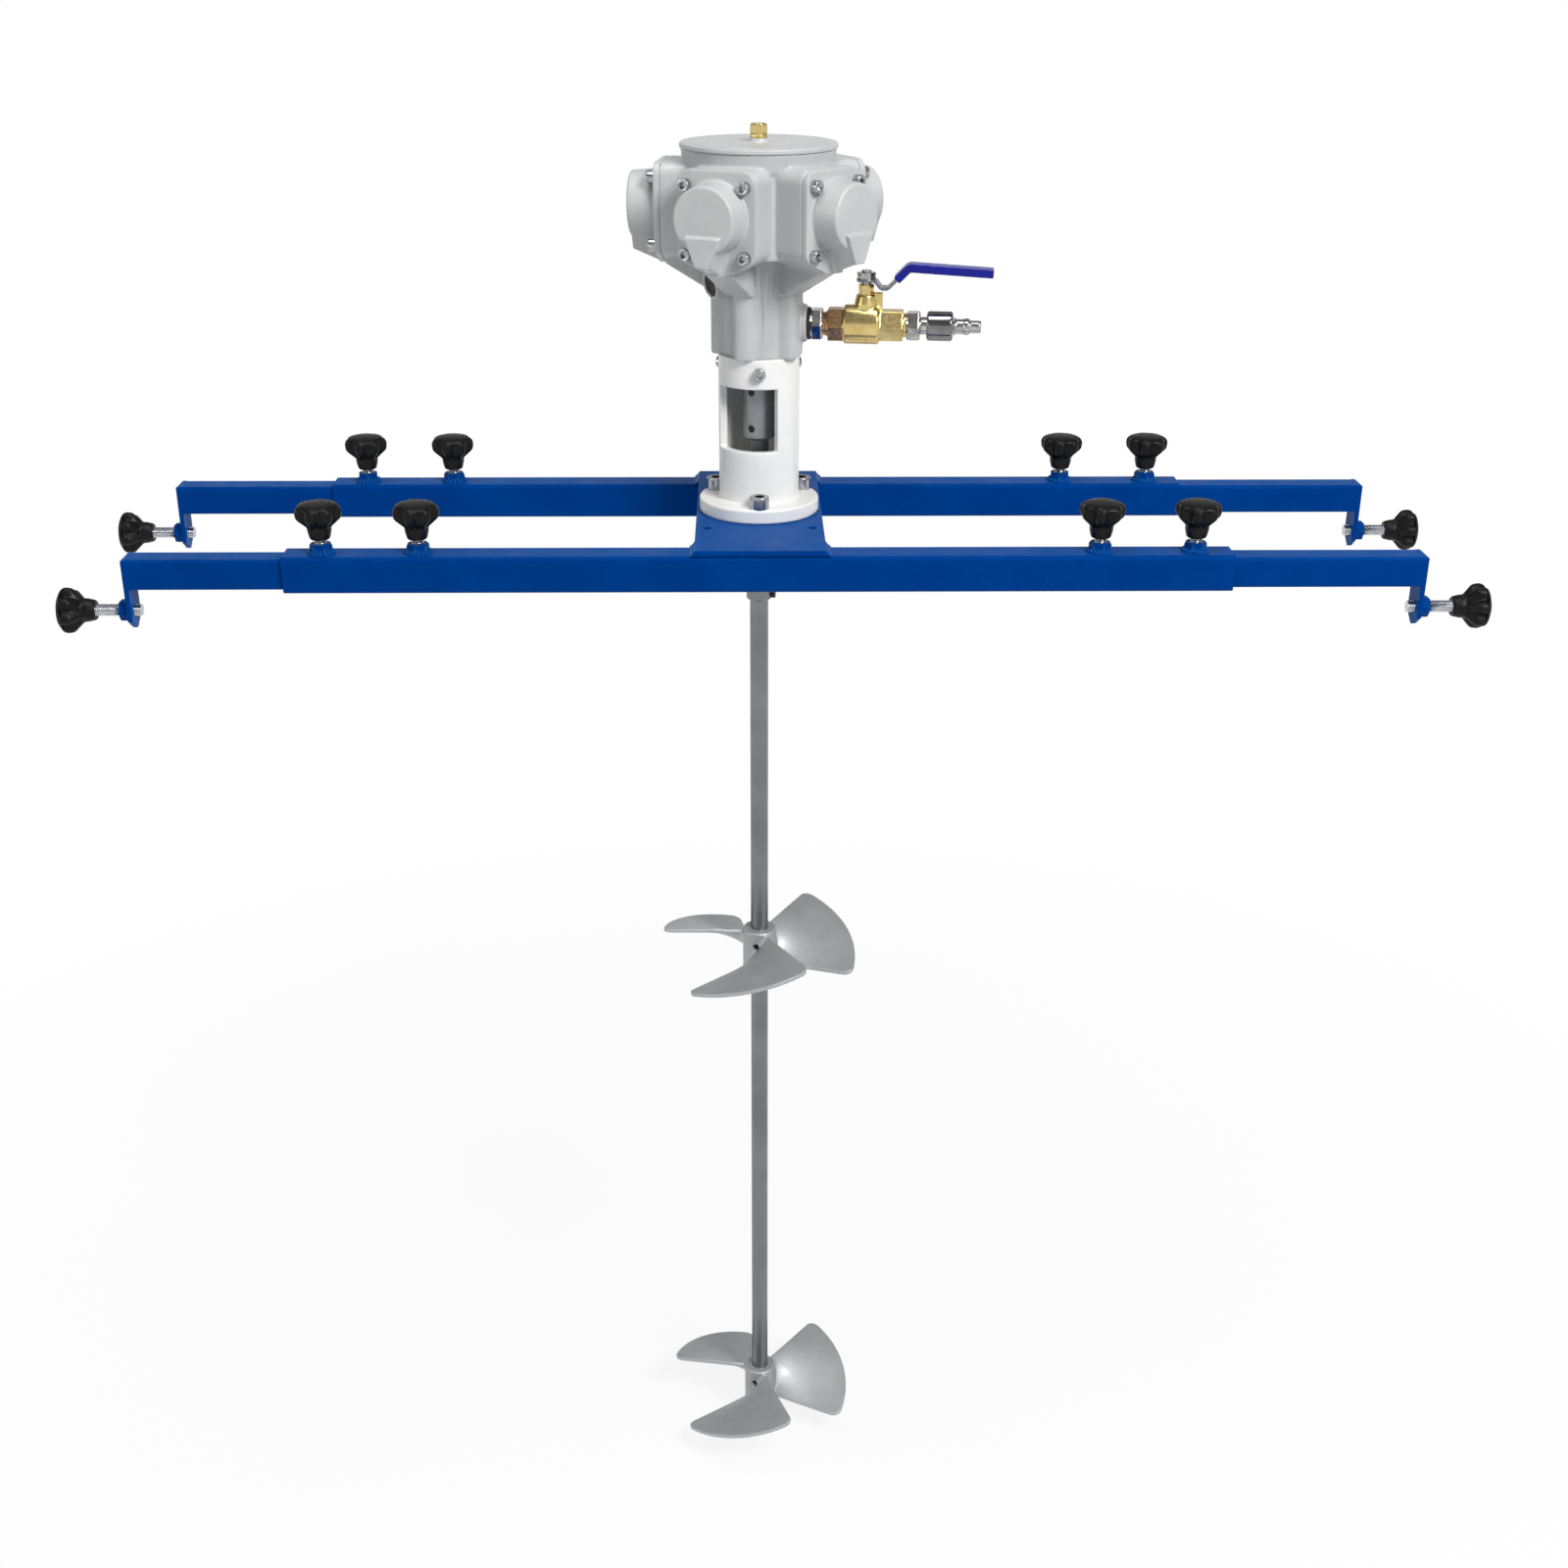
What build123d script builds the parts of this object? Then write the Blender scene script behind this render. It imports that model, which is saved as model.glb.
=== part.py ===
from build123d import *

import math
import os

# Air-driven container mixer. A plate bridge carries a five-cylinder radial air motor, a
# lantern, and a long shaft with two three-bladed impellers. Four arms slide in the bridge's
# two rails, and each arm ends in a hook plate with a clamp screw for the container's rim.
# Millimetres. The origin is the middle of the plate's top face, on the shaft's axis.
# +Z is up, +X runs along the rails to the right, and the viewer stands at -Y.
# A bearing of 0 degrees faces the viewer, and bearings grow towards +X.

# Fits and clearances
running_fit = 0.05
press_gap = 0.02
body_clearance = 0.5
tip_clearance = 0.3

# Bridge plate and rails
rail_size = 30.0
rail_wall = 2.0
rail_corner = 3.5
rail_length = 760.0
rail_half_spacing = 108.8
plate_length = 106.0
plate_thickness = 5.0
weld_leg = 6.0
weld_rise = 4.5
weld_hollow = 0.6
mount_hole_radius = 3.3
mount_spacing_x = 87.0
mount_spacing_y = 118.0
plate_shaft_hole = 20.0

# Arms and hook plates
arm_size = 25.0
arm_wall = 2.0
arm_corner = 2.5
arm_length = 350.0
hook_thickness = 4.0
hook_bottom_z = -67.0
hook_chamfer_width = 11.0
hook_chamfer_height = 8.0
hook_screw_z = -52.5
arm_reaches = {
    "front_left": (-1, -1, 507.0),
    "front_right": (1, -1, 537.0),
    "rear_left": (-1, 1, 520.0),
    "rear_right": (1, 1, 547.0),
}

# Clamp screws and their knobs
stud_radius = 5.0
stud_chamfer = 1.0
nut_radius = 9.25
nut_height = 8.0
clamp_places = {"inner": rail_length / 2 - 107, "outer": rail_length / 2 - 30}
rail_stud_exposed = 3.7
hook_stud_exposed = 19.5
hook_stud_past = 5.0
knob_hub_radius = 10.0
knob_hub_height = 11.0
knob_radius = 18.8
knob_height = 29.5
knob_core_radius = 14.2
knob_lobe_radius = 4.8
knob_lobes = 7
knob_grip_depth = 15.0

# Lantern between the plate and the motor
flange_radius = 50.3
flange_thickness = 12.0
flange_rim_chamfer = 1.0
flange_screw_circle = 42.0
flange_screw_radius = 5.0
flange_screw_head_radius = 8.0
flange_screw_head_height = 10.0
flange_screw_socket = 4.6
third_bearings = [0, 120, 240]
lantern_radius = 33.5
lantern_bore = 27.0
lantern_floor = 24.0
lantern_top = 132.0
window_bearing = -24.0
window_half_angle = 51.0
window_bottom = 56.0
window_top = 108.0
clamp_screw_z = 121.0
clamp_screw_radius = 3.0
clamp_screw_head_radius = 5.2
clamp_screw_head_height = 6.0
clamp_screw_socket = 2.9
spot_face_radius = 32.8

# Motor housing
spigot_length = 18.0
neck_radius = 36.0
neck_rib_centre = 26.0
neck_rib_radius = 13.5
neck_rib_top = 204.0
neck_bore = 12.0
crankcase_bottom = 214.0
crankcase_floor = 217.0
crankcase_top = 294.0
crankcase_bore = 42.0
drum_radius = 58.0
crown_base_radius = 60.0
crown_base_z = 278.0
crown_radius = 62.0
cylinder_count = 5
first_cylinder_bearing = -25.0
cylinder_z = 249.5
cylinder_bore = 18.0
boss_radius = 75.0
duct_width = 24.0
duct_foot_radius = 38.0
duct_foot_z = 183.0
head_half_width = 33.0
head_top = 34.5
head_shoulder = -33.0
head_tip = -45.0
head_tip_half_width = 6.0
head_top_corner = 10.0
head_plate_thickness = 5.0
cap_radius = 27.3
cap_end_radius = 25.5
cap_depth = 23.0
keel_half_width = 15.0
keel_tip_half_width = 5.0
keel_tip = -44.0
keel_end_tip = -35.0
head_screw_x = 25.0
head_screw_high = 23.0
head_screw_low = -29.0
head_screw_radius = 3.0
head_screw_head_radius = 5.0
head_screw_head_height = 6.0
head_screw_socket = 2.9
head_screw_depth = 12.0
cover_radius = 63.0
cover_thickness = 4.3
cover_edge = 1.6
cover_spigot = 6.0
cover_hub_radius = 23.0
plug_radius = 7.0
plug_top = 312.0
plug_seat_radius = 8.0
plug_seat_height = 2.5
plug_thread_radius = 4.0
plug_thread_depth = 4.0

# Ports of the motor
inlet_bearing = 83.0
inlet_z = 157.0
inlet_boss_radius = 15.0
inlet_boss_reach = 40.0
inlet_thread_radius = 6.5
inlet_thread_depth = 12.0
exhaust_bearing = -58.0
exhaust_z = 194.0
exhaust_tilt = 25.0
exhaust_boss_radius = 11.5
exhaust_reach = 47.0
silencer_radius = 9.0
silencer_depth = 8.0

# Motor bearings and crank
shaft_radius = 8.0
flange_bearing_radius = 16.0
flange_bearing_width = 9.0
lower_journal_radius = 10.0
lower_bearing_radius = 21.0
lower_bearing_width = 12.0
upper_journal_radius = 7.5
upper_bearing_radius = 17.5
upper_bearing_width = 11.0
upper_bearing_top = 290.0
bearing_edge = 0.8
crank_throw = 8.0
crank_web_radius = 26.0
crank_web_bottom = 219.0
crank_web_thickness = 9.0
upper_web_radius = 20.0
upper_web_bottom = 269.0
upper_web_thickness = 7.0
crankpin_radius = 9.0
crank_ring_radius = 22.0
crank_ring_height = 28.0
piston_length = 20.0
piston_outer_end = 70.0
piston_rod_radius = 6.0
piston_foot_radius = 10.0
piston_foot_thickness = 4.0
piston_foot_gap = 1.5

# Shaft line
coupling_radius = 13.5
coupling_bottom = 61.0
coupling_top = 111.0
coupling_chamfer = 2.0
shaft_end_gap = 1.0
coupling_screw_offset = 15.3
coupling_screw_bearing = -30.0
set_screw_radius = 3.0
set_screw_recess = 1.0
sleeve_radius = 11.0
sleeve_top = -18.0
sleeve_bottom = -80.0
sleeve_chamfer = 1.0
sleeve_screw_bearing = 80.0
sleeve_screw_drop = 4.5
sleeve_screw_head_radius = 3.6
sleeve_screw_head_height = 3.2
shaft_bottom = -964.0
shaft_chamfer = 1.0

# Impellers
impeller_heights = {"upper": -425.8, "lower": -939.9}
impeller_turns = {"upper": 150.0, "lower": 141.4}
impeller_radius = 90.0
impeller_hub_radius = 15.4
impeller_hub_length = 46.5
impeller_blades = 3
blade_rise = 33.0
blade_sweep = 78.0
blade_thickness = 4.0
blade_corner = 9.0
blade_mid_offset = 2.75
hub_screw_offset = 9.5
hub_screw_from_blade = -162.0
hub_chamfer = 1.2
hub_slot_width = 2.4
hub_slot_length = 13.0
hub_slot_depth = 1.6
hub_slot_from_screw = 42.0

# Inlet valve, along the inlet's own axis from the shaft's axis outward
seal_end = 43.0
seal_radius = 13.0
union_hex_end = 53.0
union_hex_radius = 13.5
union_neck_radius = 10.0
valve_start = 57.0
union_thread_length = 11.0
union_thread_radius = 8.0
union_bore = 4.5
valve_hex_end = 69.5
valve_hex_radius = 14.5
valve_body_end = 99.0
valve_body_radius = 15.75
valve_outlet_end = 118.0
valve_outlet_radius = 13.8
valve_neck_end = 121.0
valve_neck_radius = 9.5
valve_bore = 5.0
valve_edge = 1.5
ball_radius = 10.0
ball_clearance = 0.5
stem_distance = 87.5
stem_radius = 4.0
bonnet_radius = 9.6
bonnet_top_radius = 8.0
bonnet_bottom_z = 165.0
bonnet_top_z = 181.0
gland_radius = 6.4
gland_top_z = 189.5
stop_length = 6.5
stop_width = 6.0
stop_bottom_z = 169.5
stop_top_z = 183.0
lever_thickness = 2.5
lever_width = 14.0
lever_eye_radius = 8.0
lever_bend = 4.0
lever_route = [(81.0, 192.6), (95.0, 192.6), (99.5, 186.5), (105.0, 186.5), (122.0, 203.5)]
lever_end = (188.0, 200.0)
lever_nut_radius = 7.5
lever_nut_height = 5.0
stem_top_z = 200.5
grip_start_z = 193.5
grip_thickness = 6.5
grip_width = 17.0
grip_wall = 1.5
nipple_hex_end = 132.0
nipple_hex_radius = 12.5
nipple_thread_length = 12.0
nipple_thread_radius = 6.5
nipple_bore = 3.5
nipple_neck_radius = 7.0
plug_start = 137.3
plug_thread_length = 9.0
plug_barrel_radius = 11.85
plug_barrel_end = 158.4
plug_nose_radius = 6.0
plug_bump_start = 167.5
plug_bump_end = 171.5
plug_bump_radius = 6.6
plug_tip_radius = 5.0
plug_end = 181.3
plug_inner_thread = 5.0

# Heights and distances that follow from the sizes above
rail_top_z = -plate_thickness
rail_mid_z = rail_top_z - rail_size / 2
rail_inner = rail_size - 2 * rail_wall
plate_width = 2 * rail_half_spacing + rail_size
arm_top_z = rail_mid_z + arm_size / 2
nut_top_z = rail_top_z + nut_height
knob_bottom_z = nut_top_z + rail_stud_exposed
knob_seat = nut_height + hook_stud_exposed
knob_bore = stud_radius + running_fit
spigot_bottom = lantern_top - spigot_length
cylinder_bearings = [
    first_cylinder_bearing + 360 / cylinder_count * i for i in range(cylinder_count)
]
head_face_radius = boss_radius + head_plate_thickness
cover_top = crankcase_top + cover_thickness
coupling_mid = (coupling_bottom + coupling_top) / 2
sleeve_mid = (sleeve_top + sleeve_bottom) / 2
impeller_pitch = blade_rise * 360 / blade_sweep


def level(height):
    """Gives the horizontal plane at a height."""
    return Plane.XY.offset(height)


def outward(bearing, radius, height):
    """Gives a plane that faces outward at a bearing, with its x along the rim and its y up."""
    angle = math.radians(bearing - 90)
    out = Vector(math.cos(angle), math.sin(angle), 0)
    along = Vector(-math.sin(angle), math.cos(angle), 0)
    return Plane(origin=out * radius + Vector(0, 0, height), x_dir=along, z_dir=out)


def upright(bearing):
    """Gives the plane through the shaft's axis at a bearing, with x outward and y up."""
    angle = math.radians(bearing - 90)
    out = Vector(math.cos(angle), math.sin(angle), 0)
    return Plane(origin=(0, 0, 0), x_dir=out, z_dir=Vector(math.sin(angle), -math.cos(angle), 0))


def lengthwise(frame):
    """Gives the plane that holds a frame's axis, with x across it and y along it."""
    return Plane(origin=frame.origin, x_dir=frame.x_dir, z_dir=-frame.y_dir)


def turned(frame, outline, mode=Mode.ADD):
    """Revolves an outline of (radius, distance along) points about a frame's own axis."""
    with BuildSketch(lengthwise(frame)) as section:
        with BuildLine():
            Polyline(outline, close=True)
        make_face()
    return revolve(section.sketch, axis=Axis(frame.origin, frame.z_dir), mode=mode)


def rod(frame, radius, start, end, mode=Mode.ADD):
    """Adds or cuts a round rod along a frame's axis, between two distances on it."""
    with BuildSketch(frame.offset(start)) as disc:
        Circle(radius)
    return extrude(disc.sketch, amount=end - start, mode=mode)


def hexagon(frame, radius, start, end, mode=Mode.ADD):
    """Adds or cuts a hexagonal bar along a frame's axis, between two distances on it."""
    with BuildSketch(frame.offset(start)) as outline:
        RegularPolygon(radius, 6)
    return extrude(outline.sketch, amount=end - start, mode=mode)


def cap_screw(frame, head_radius, head_height, shank_radius, shank_length, socket_radius):
    """Adds one socket-head screw whose head stands on the frame and whose shank goes down."""
    rod(frame, head_radius, 0, head_height)
    rod(frame, shank_radius, -shank_length, 0)
    hexagon(frame, socket_radius, head_height, head_height / 2, mode=Mode.SUBTRACT)


def square_tube(size, wall, corner, start, length, y):
    """Makes a square tube along X in the rails' own height."""
    with BuildPart() as tube:
        with BuildSketch(Plane.YZ.offset(start)):
            with Locations((y, rail_mid_z)):
                RectangleRounded(size, size, corner)
                RectangleRounded(size - 2 * wall, size - 2 * wall, corner - wall / 2,
                                 mode=Mode.SUBTRACT)
        extrude(amount=length)
    return tube


def clamp_stud(frame, start, end):
    """Makes a clamp screw's stud along a frame's axis, chamfered at its working tip."""
    with BuildPart() as stud:
        turned(frame, [(0, start), (stud_radius - stud_chamfer, start),
                       (stud_radius, start + stud_chamfer), (stud_radius, end), (0, end)])
    return stud


def star_knob(frame):
    """Makes a lobed knob on a hub, with a blind bore that opens at the frame's origin."""
    shoulder = knob_hub_height
    with BuildPart() as knob:
        rod(frame, knob_hub_radius, 0, shoulder)
        with BuildSketch(frame.offset(shoulder - 4)) as star:
            Circle(knob_core_radius)
            with PolarLocations(knob_radius - knob_lobe_radius, knob_lobes):
                Circle(knob_lobe_radius)
        extrude(star.sketch, amount=knob_height - shoulder + 4)
        turned(frame, [(0, 0), (knob_hub_radius - 1, 0), (knob_hub_radius, 1.5),
                       (knob_hub_radius, shoulder - 3), (knob_radius, shoulder + 6),
                       (knob_radius, knob_height - 6), (knob_core_radius, knob_height - 1),
                       (knob_core_radius / 2, knob_height), (0, knob_height)],
               mode=Mode.INTERSECT)
        rod(frame, knob_bore, 0, knob_grip_depth + body_clearance, mode=Mode.SUBTRACT)
    return knob


pieces = {}

# Bridge plate with its weld beads along the rails
with BuildPart() as bridge_plate:
    with BuildSketch(level(-plate_thickness)):
        Rectangle(plate_length, plate_width)
        Circle(plate_shaft_hole, mode=Mode.SUBTRACT)
        with GridLocations(mount_spacing_x, mount_spacing_y, 2, 2):
            Circle(mount_hole_radius, mode=Mode.SUBTRACT)
        with PolarLocations(flange_screw_circle, 3, start_angle=-90):
            Circle(flange_screw_radius + running_fit, mode=Mode.SUBTRACT)
    extrude(amount=plate_thickness)
    for near_edge in (plate_width / 2, -plate_width / 2 + rail_size):
        with BuildSketch(Plane.XZ.offset(-near_edge)):
            with BuildLine():
                foot = (plate_length / 2 + weld_leg, rail_top_z)
                toe = (plate_length / 2, rail_top_z + weld_rise)
                middle = (plate_length / 2 + weld_leg / 2 - weld_hollow,
                          rail_top_z + weld_rise / 2 - weld_hollow)
                Line((plate_length / 2, rail_top_z), foot)
                ThreePointArc(foot, middle, toe)
                Line(toe, (plate_length / 2, rail_top_z))
            make_face()
        extrude(amount=rail_size)
    mirror(about=Plane.YZ)
pieces["bridge_plate"] = bridge_plate

# Rails, each with a hole under every rail clamp
clamp_xs = [side * x for side in (-1, 1) for x in clamp_places.values()]
for name, y in (("front_rail", -rail_half_spacing), ("rear_rail", rail_half_spacing)):
    tube = square_tube(rail_size, rail_wall, rail_corner, -rail_length / 2, rail_length, y)
    with BuildPart() as rail:
        add(tube.part)
        with BuildSketch(level(rail_top_z)):
            with Locations(*[(x, y) for x in clamp_xs]):
                Circle(stud_radius + body_clearance)
        extrude(amount=-rail_wall - rail_corner, mode=Mode.SUBTRACT)
    pieces[name] = rail

# Weld nuts on top of the rails
with BuildPart() as rail_clamp_nuts:
    with BuildSketch(level(rail_top_z)):
        with Locations(*[(x, y) for x in clamp_xs
                         for y in (-rail_half_spacing, rail_half_spacing)]):
            RegularPolygon(nut_radius, 6)
            Circle(stud_radius + running_fit, mode=Mode.SUBTRACT)
    extrude(amount=nut_height)
pieces["rail_clamp_nuts"] = rail_clamp_nuts

# Arms: a square tube with a hook plate across its end and a weld nut on the plate
for name, (side_x, side_y, reach) in arm_reaches.items():
    y = side_y * rail_half_spacing
    plate_back = reach - hook_thickness
    tube_start = min(side_x * plate_back, side_x * (plate_back - arm_length))
    tube = square_tube(arm_size, arm_wall, arm_corner, tube_start, arm_length, y)
    face = Plane(origin=(side_x * reach, y, hook_screw_z), x_dir=(0, side_x, 0),
                 z_dir=(side_x, 0, 0))
    with BuildPart() as arm:
        add(tube.part)
        with BuildSketch(face):
            with BuildLine():
                Polyline([(-arm_size / 2, arm_top_z - hook_screw_z),
                          (arm_size / 2, arm_top_z - hook_screw_z),
                          (arm_size / 2, hook_bottom_z + hook_chamfer_height - hook_screw_z),
                          (arm_size / 2 - hook_chamfer_width, hook_bottom_z - hook_screw_z),
                          (-arm_size / 2 + hook_chamfer_width, hook_bottom_z - hook_screw_z),
                          (-arm_size / 2, hook_bottom_z + hook_chamfer_height - hook_screw_z)],
                         close=True)
            make_face()
        extrude(amount=-hook_thickness)
        hexagon(face, nut_radius, 0, nut_height)
        rod(face, stud_radius + running_fit, -hook_thickness, nut_height, mode=Mode.SUBTRACT)
    pieces[f"{name}_arm"] = arm
    pieces[f"{name}_hook_stud"] = clamp_stud(face, -hook_thickness - hook_stud_past,
                                             knob_seat + knob_grip_depth)
    pieces[f"{name}_hook_knob"] = star_knob(face.offset(knob_seat))

# Rail clamps: a stud through each weld nut down to the arm, under its knob
for name, (side_x, side_y, reach) in arm_reaches.items():
    for place, x in clamp_places.items():
        seat = Plane(origin=(side_x * x, side_y * rail_half_spacing, knob_bottom_z))
        stud_tip = arm_top_z + tip_clearance - knob_bottom_z
        pieces[f"{name}_{place}_stud"] = clamp_stud(seat, stud_tip, knob_grip_depth)
        pieces[f"{name}_{place}_knob"] = star_knob(seat)

# Lantern: flange, window tube and socket for the motor's spigot
with BuildPart() as lantern:
    turned(level(0), [(shaft_radius + 2, 0), (flange_radius - flange_rim_chamfer, 0),
                      (flange_radius, flange_rim_chamfer),
                      (flange_radius, flange_thickness - flange_rim_chamfer),
                      (flange_radius - flange_rim_chamfer, flange_thickness),
                      (lantern_radius, flange_thickness), (lantern_radius, lantern_top),
                      (lantern_bore, lantern_top), (lantern_bore, lantern_floor),
                      (flange_bearing_radius, lantern_floor),
                      (flange_bearing_radius, flange_thickness),
                      (shaft_radius + 2, flange_thickness)])
    with BuildSketch(level(window_bottom)):
        with BuildLine():
            far = 2 * lantern_radius
            left = math.radians(window_bearing - window_half_angle - 90)
            right = math.radians(window_bearing + window_half_angle - 90)
            Polyline([(0, 0), (far * math.cos(left), far * math.sin(left)),
                      (far * math.cos(math.radians(window_bearing - 90)),
                       far * math.sin(math.radians(window_bearing - 90))),
                      (far * math.cos(right), far * math.sin(right))], close=True)
        make_face()
        Circle(coupling_radius + body_clearance, mode=Mode.SUBTRACT)
    extrude(amount=window_top - window_bottom, mode=Mode.SUBTRACT)
    for bearing in third_bearings:
        rod(outward(bearing, 0, clamp_screw_z), clamp_screw_head_radius + running_fit,
            spot_face_radius, lantern_radius + 1, mode=Mode.SUBTRACT)
        rod(outward(bearing, 0, clamp_screw_z), clamp_screw_radius + running_fit,
            lantern_bore - 1, lantern_radius, mode=Mode.SUBTRACT)
    with BuildSketch(level(0)):
        with PolarLocations(flange_screw_circle, 3, start_angle=-90):
            Circle(flange_screw_radius + running_fit)
    extrude(amount=flange_thickness, mode=Mode.SUBTRACT)
pieces["lantern"] = lantern

with BuildPart() as flange_screws:
    for bearing in third_bearings:
        foot = outward(bearing, flange_screw_circle, flange_thickness).origin
        cap_screw(Plane(origin=foot), flange_screw_head_radius, flange_screw_head_height,
                  flange_screw_radius, flange_thickness + plate_thickness, flange_screw_socket)
pieces["flange_screws"] = flange_screws

with BuildPart() as lantern_screws:
    for bearing in third_bearings:
        cap_screw(outward(bearing, spot_face_radius, clamp_screw_z), clamp_screw_head_radius,
                  clamp_screw_head_height, clamp_screw_radius, 14, clamp_screw_socket)
pieces["lantern_screws"] = lantern_screws

# Outline shared by the cylinder bosses and the head plates, about the cylinder's axis
with BuildSketch() as head_outline:
    with BuildLine():
        Polyline([(-head_half_width, head_shoulder), (-head_half_width, head_top),
                  (head_half_width, head_top), (head_half_width, head_shoulder),
                  (head_tip_half_width, head_tip), (-head_tip_half_width, head_tip)],
                 close=True)
    make_face()
    fillet(head_outline.vertices().group_by(Axis.Y)[-1], radius=head_top_corner)
    fillet(head_outline.vertices().group_by(Axis.Y)[1], radius=head_top_corner)

# Motor housing: spigot, ribbed neck, crankcase drum, five bosses and their ducts
with BuildPart() as motor_housing:
    turned(level(0), [(neck_bore, spigot_bottom), (lantern_bore - press_gap, spigot_bottom),
                      (lantern_bore - press_gap, lantern_top), (neck_radius, lantern_top),
                      (neck_radius, crankcase_bottom), (drum_radius, crankcase_bottom),
                      (drum_radius, crown_base_z), (crown_base_radius, crown_base_z + 2),
                      (crown_radius, crankcase_top), (neck_bore, crankcase_top)])
    for bearing in cylinder_bearings:
        rib_foot = outward(bearing, neck_rib_centre, 0).origin
        rod(Plane(origin=rib_foot), neck_rib_radius, lantern_top, neck_rib_top)
        with BuildSketch(outward(bearing, boss_radius, cylinder_z)):
            add(head_outline.sketch)
        extrude(amount=crankcase_bore - boss_radius)
        with BuildSketch(upright(bearing)):
            with BuildLine():
                Polyline([(neck_rib_centre, duct_foot_z - 6), (duct_foot_radius, duct_foot_z),
                          (boss_radius, cylinder_z + head_tip),
                          (boss_radius, crankcase_bottom + 6),
                          (neck_rib_centre, crankcase_bottom + 6)], close=True)
            make_face()
        extrude(amount=duct_width / 2, both=True)
    rod(outward(inlet_bearing, 0, inlet_z), inlet_boss_radius, 25, inlet_boss_reach)
    exhaust_face = outward(exhaust_bearing, 30, exhaust_z).rotated((exhaust_tilt, 0, 0))
    rod(exhaust_face, exhaust_boss_radius, -6, exhaust_reach - 30)
    rod(exhaust_face, silencer_radius + press_gap, exhaust_reach - 30 - silencer_depth,
        exhaust_reach - 30, mode=Mode.SUBTRACT)
    rod(outward(inlet_bearing, 0, inlet_z), inlet_thread_radius + running_fit,
        inlet_boss_reach - inlet_thread_depth - 1, inlet_boss_reach, mode=Mode.SUBTRACT)
    rod(level(0), crankcase_bore, crankcase_floor, crankcase_top, mode=Mode.SUBTRACT)
    rod(level(0), lower_bearing_radius, crankcase_floor - lower_bearing_width,
        crankcase_floor, mode=Mode.SUBTRACT)
    rod(level(0), neck_bore, spigot_bottom, crankcase_floor, mode=Mode.SUBTRACT)
    for bearing in cylinder_bearings:
        rod(outward(bearing, 0, cylinder_z), cylinder_bore, crankcase_bore - 8, boss_radius,
            mode=Mode.SUBTRACT)
        with BuildSketch(outward(bearing, boss_radius, cylinder_z)):
            with Locations(*[(x, z) for x in (-head_screw_x, head_screw_x)
                             for z in (head_screw_high, head_screw_low)]):
                Circle(head_screw_radius + running_fit)
        extrude(amount=-head_screw_depth + head_plate_thickness - 1, mode=Mode.SUBTRACT)
    for bearing in third_bearings:
        rod(outward(bearing, 0, clamp_screw_z), clamp_screw_radius + running_fit,
            spot_face_radius - 15, lantern_bore, mode=Mode.SUBTRACT)
pieces["motor_housing"] = motor_housing

# Cylinder heads: plate, round cap and the duct's keel below it
with BuildPart() as cylinder_heads:
    for bearing in cylinder_bearings:
        with BuildSketch(outward(bearing, boss_radius, cylinder_z)):
            add(head_outline.sketch)
            with Locations(*[(x, z) for x in (-head_screw_x, head_screw_x)
                             for z in (head_screw_high, head_screw_low)]):
                Circle(head_screw_radius + running_fit, mode=Mode.SUBTRACT)
        extrude(amount=head_plate_thickness)
        turned(outward(bearing, head_face_radius, cylinder_z),
               [(0, 0), (cap_radius, 0), (cap_end_radius, cap_depth - 1),
                (cap_end_radius - 1, cap_depth), (0, cap_depth)])
        with BuildSketch(outward(bearing, head_face_radius, cylinder_z)) as keel_root:
            Polygon((-keel_half_width, -12), (keel_half_width, -12),
                    (keel_tip_half_width, keel_tip), (-keel_tip_half_width, keel_tip),
                    align=None)
        with BuildSketch(outward(bearing, head_face_radius + cap_depth - 1, cylinder_z)) as end:
            Polygon((-keel_half_width, -12), (keel_half_width, -12),
                    (keel_tip_half_width, keel_end_tip), (-keel_tip_half_width, keel_end_tip),
                    align=None)
        loft([keel_root.sketch.face(), end.sketch.face()])
pieces["cylinder_heads"] = cylinder_heads

with BuildPart() as head_screws:
    for bearing in cylinder_bearings:
        for x in (-head_screw_x, head_screw_x):
            for z in (head_screw_high, head_screw_low):
                seat = outward(bearing, head_face_radius, cylinder_z + z)
                cap_screw(Plane(origin=seat.from_local_coords((x, 0, 0)),
                                x_dir=seat.x_dir, z_dir=seat.z_dir),
                          head_screw_head_radius, head_screw_head_height, head_screw_radius,
                          head_screw_depth, head_screw_socket)
pieces["head_screws"] = head_screws

# Cover with the upper bearing's hub inside and a plug on top
with BuildPart() as motor_cover:
    turned(level(0), [(0, cover_top), (cover_radius - cover_edge, cover_top),
                      (cover_radius, cover_top - cover_edge), (cover_radius, crankcase_top),
                      (crankcase_bore - press_gap, crankcase_top),
                      (crankcase_bore - press_gap, crankcase_top - cover_spigot),
                      (cover_hub_radius, crankcase_top - cover_spigot),
                      (cover_hub_radius, upper_bearing_top - upper_bearing_width),
                      (upper_bearing_radius, upper_bearing_top - upper_bearing_width),
                      (upper_bearing_radius, upper_bearing_top), (0, upper_bearing_top)])
    rod(level(0), plug_seat_radius, cover_top, cover_top + plug_seat_height)
    rod(level(0), plug_thread_radius + running_fit, cover_top - plug_thread_depth,
        cover_top + plug_seat_height, mode=Mode.SUBTRACT)
pieces["motor_cover"] = motor_cover

with BuildPart() as filler_plug:
    seat_z = cover_top + plug_seat_height
    rod(level(0), plug_radius, seat_z, seat_z + 3)
    hexagon(level(0), plug_radius, seat_z + 3, plug_top)
    rod(level(0), plug_thread_radius, cover_top - plug_thread_depth, seat_z)
pieces["filler_plug"] = filler_plug

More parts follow.
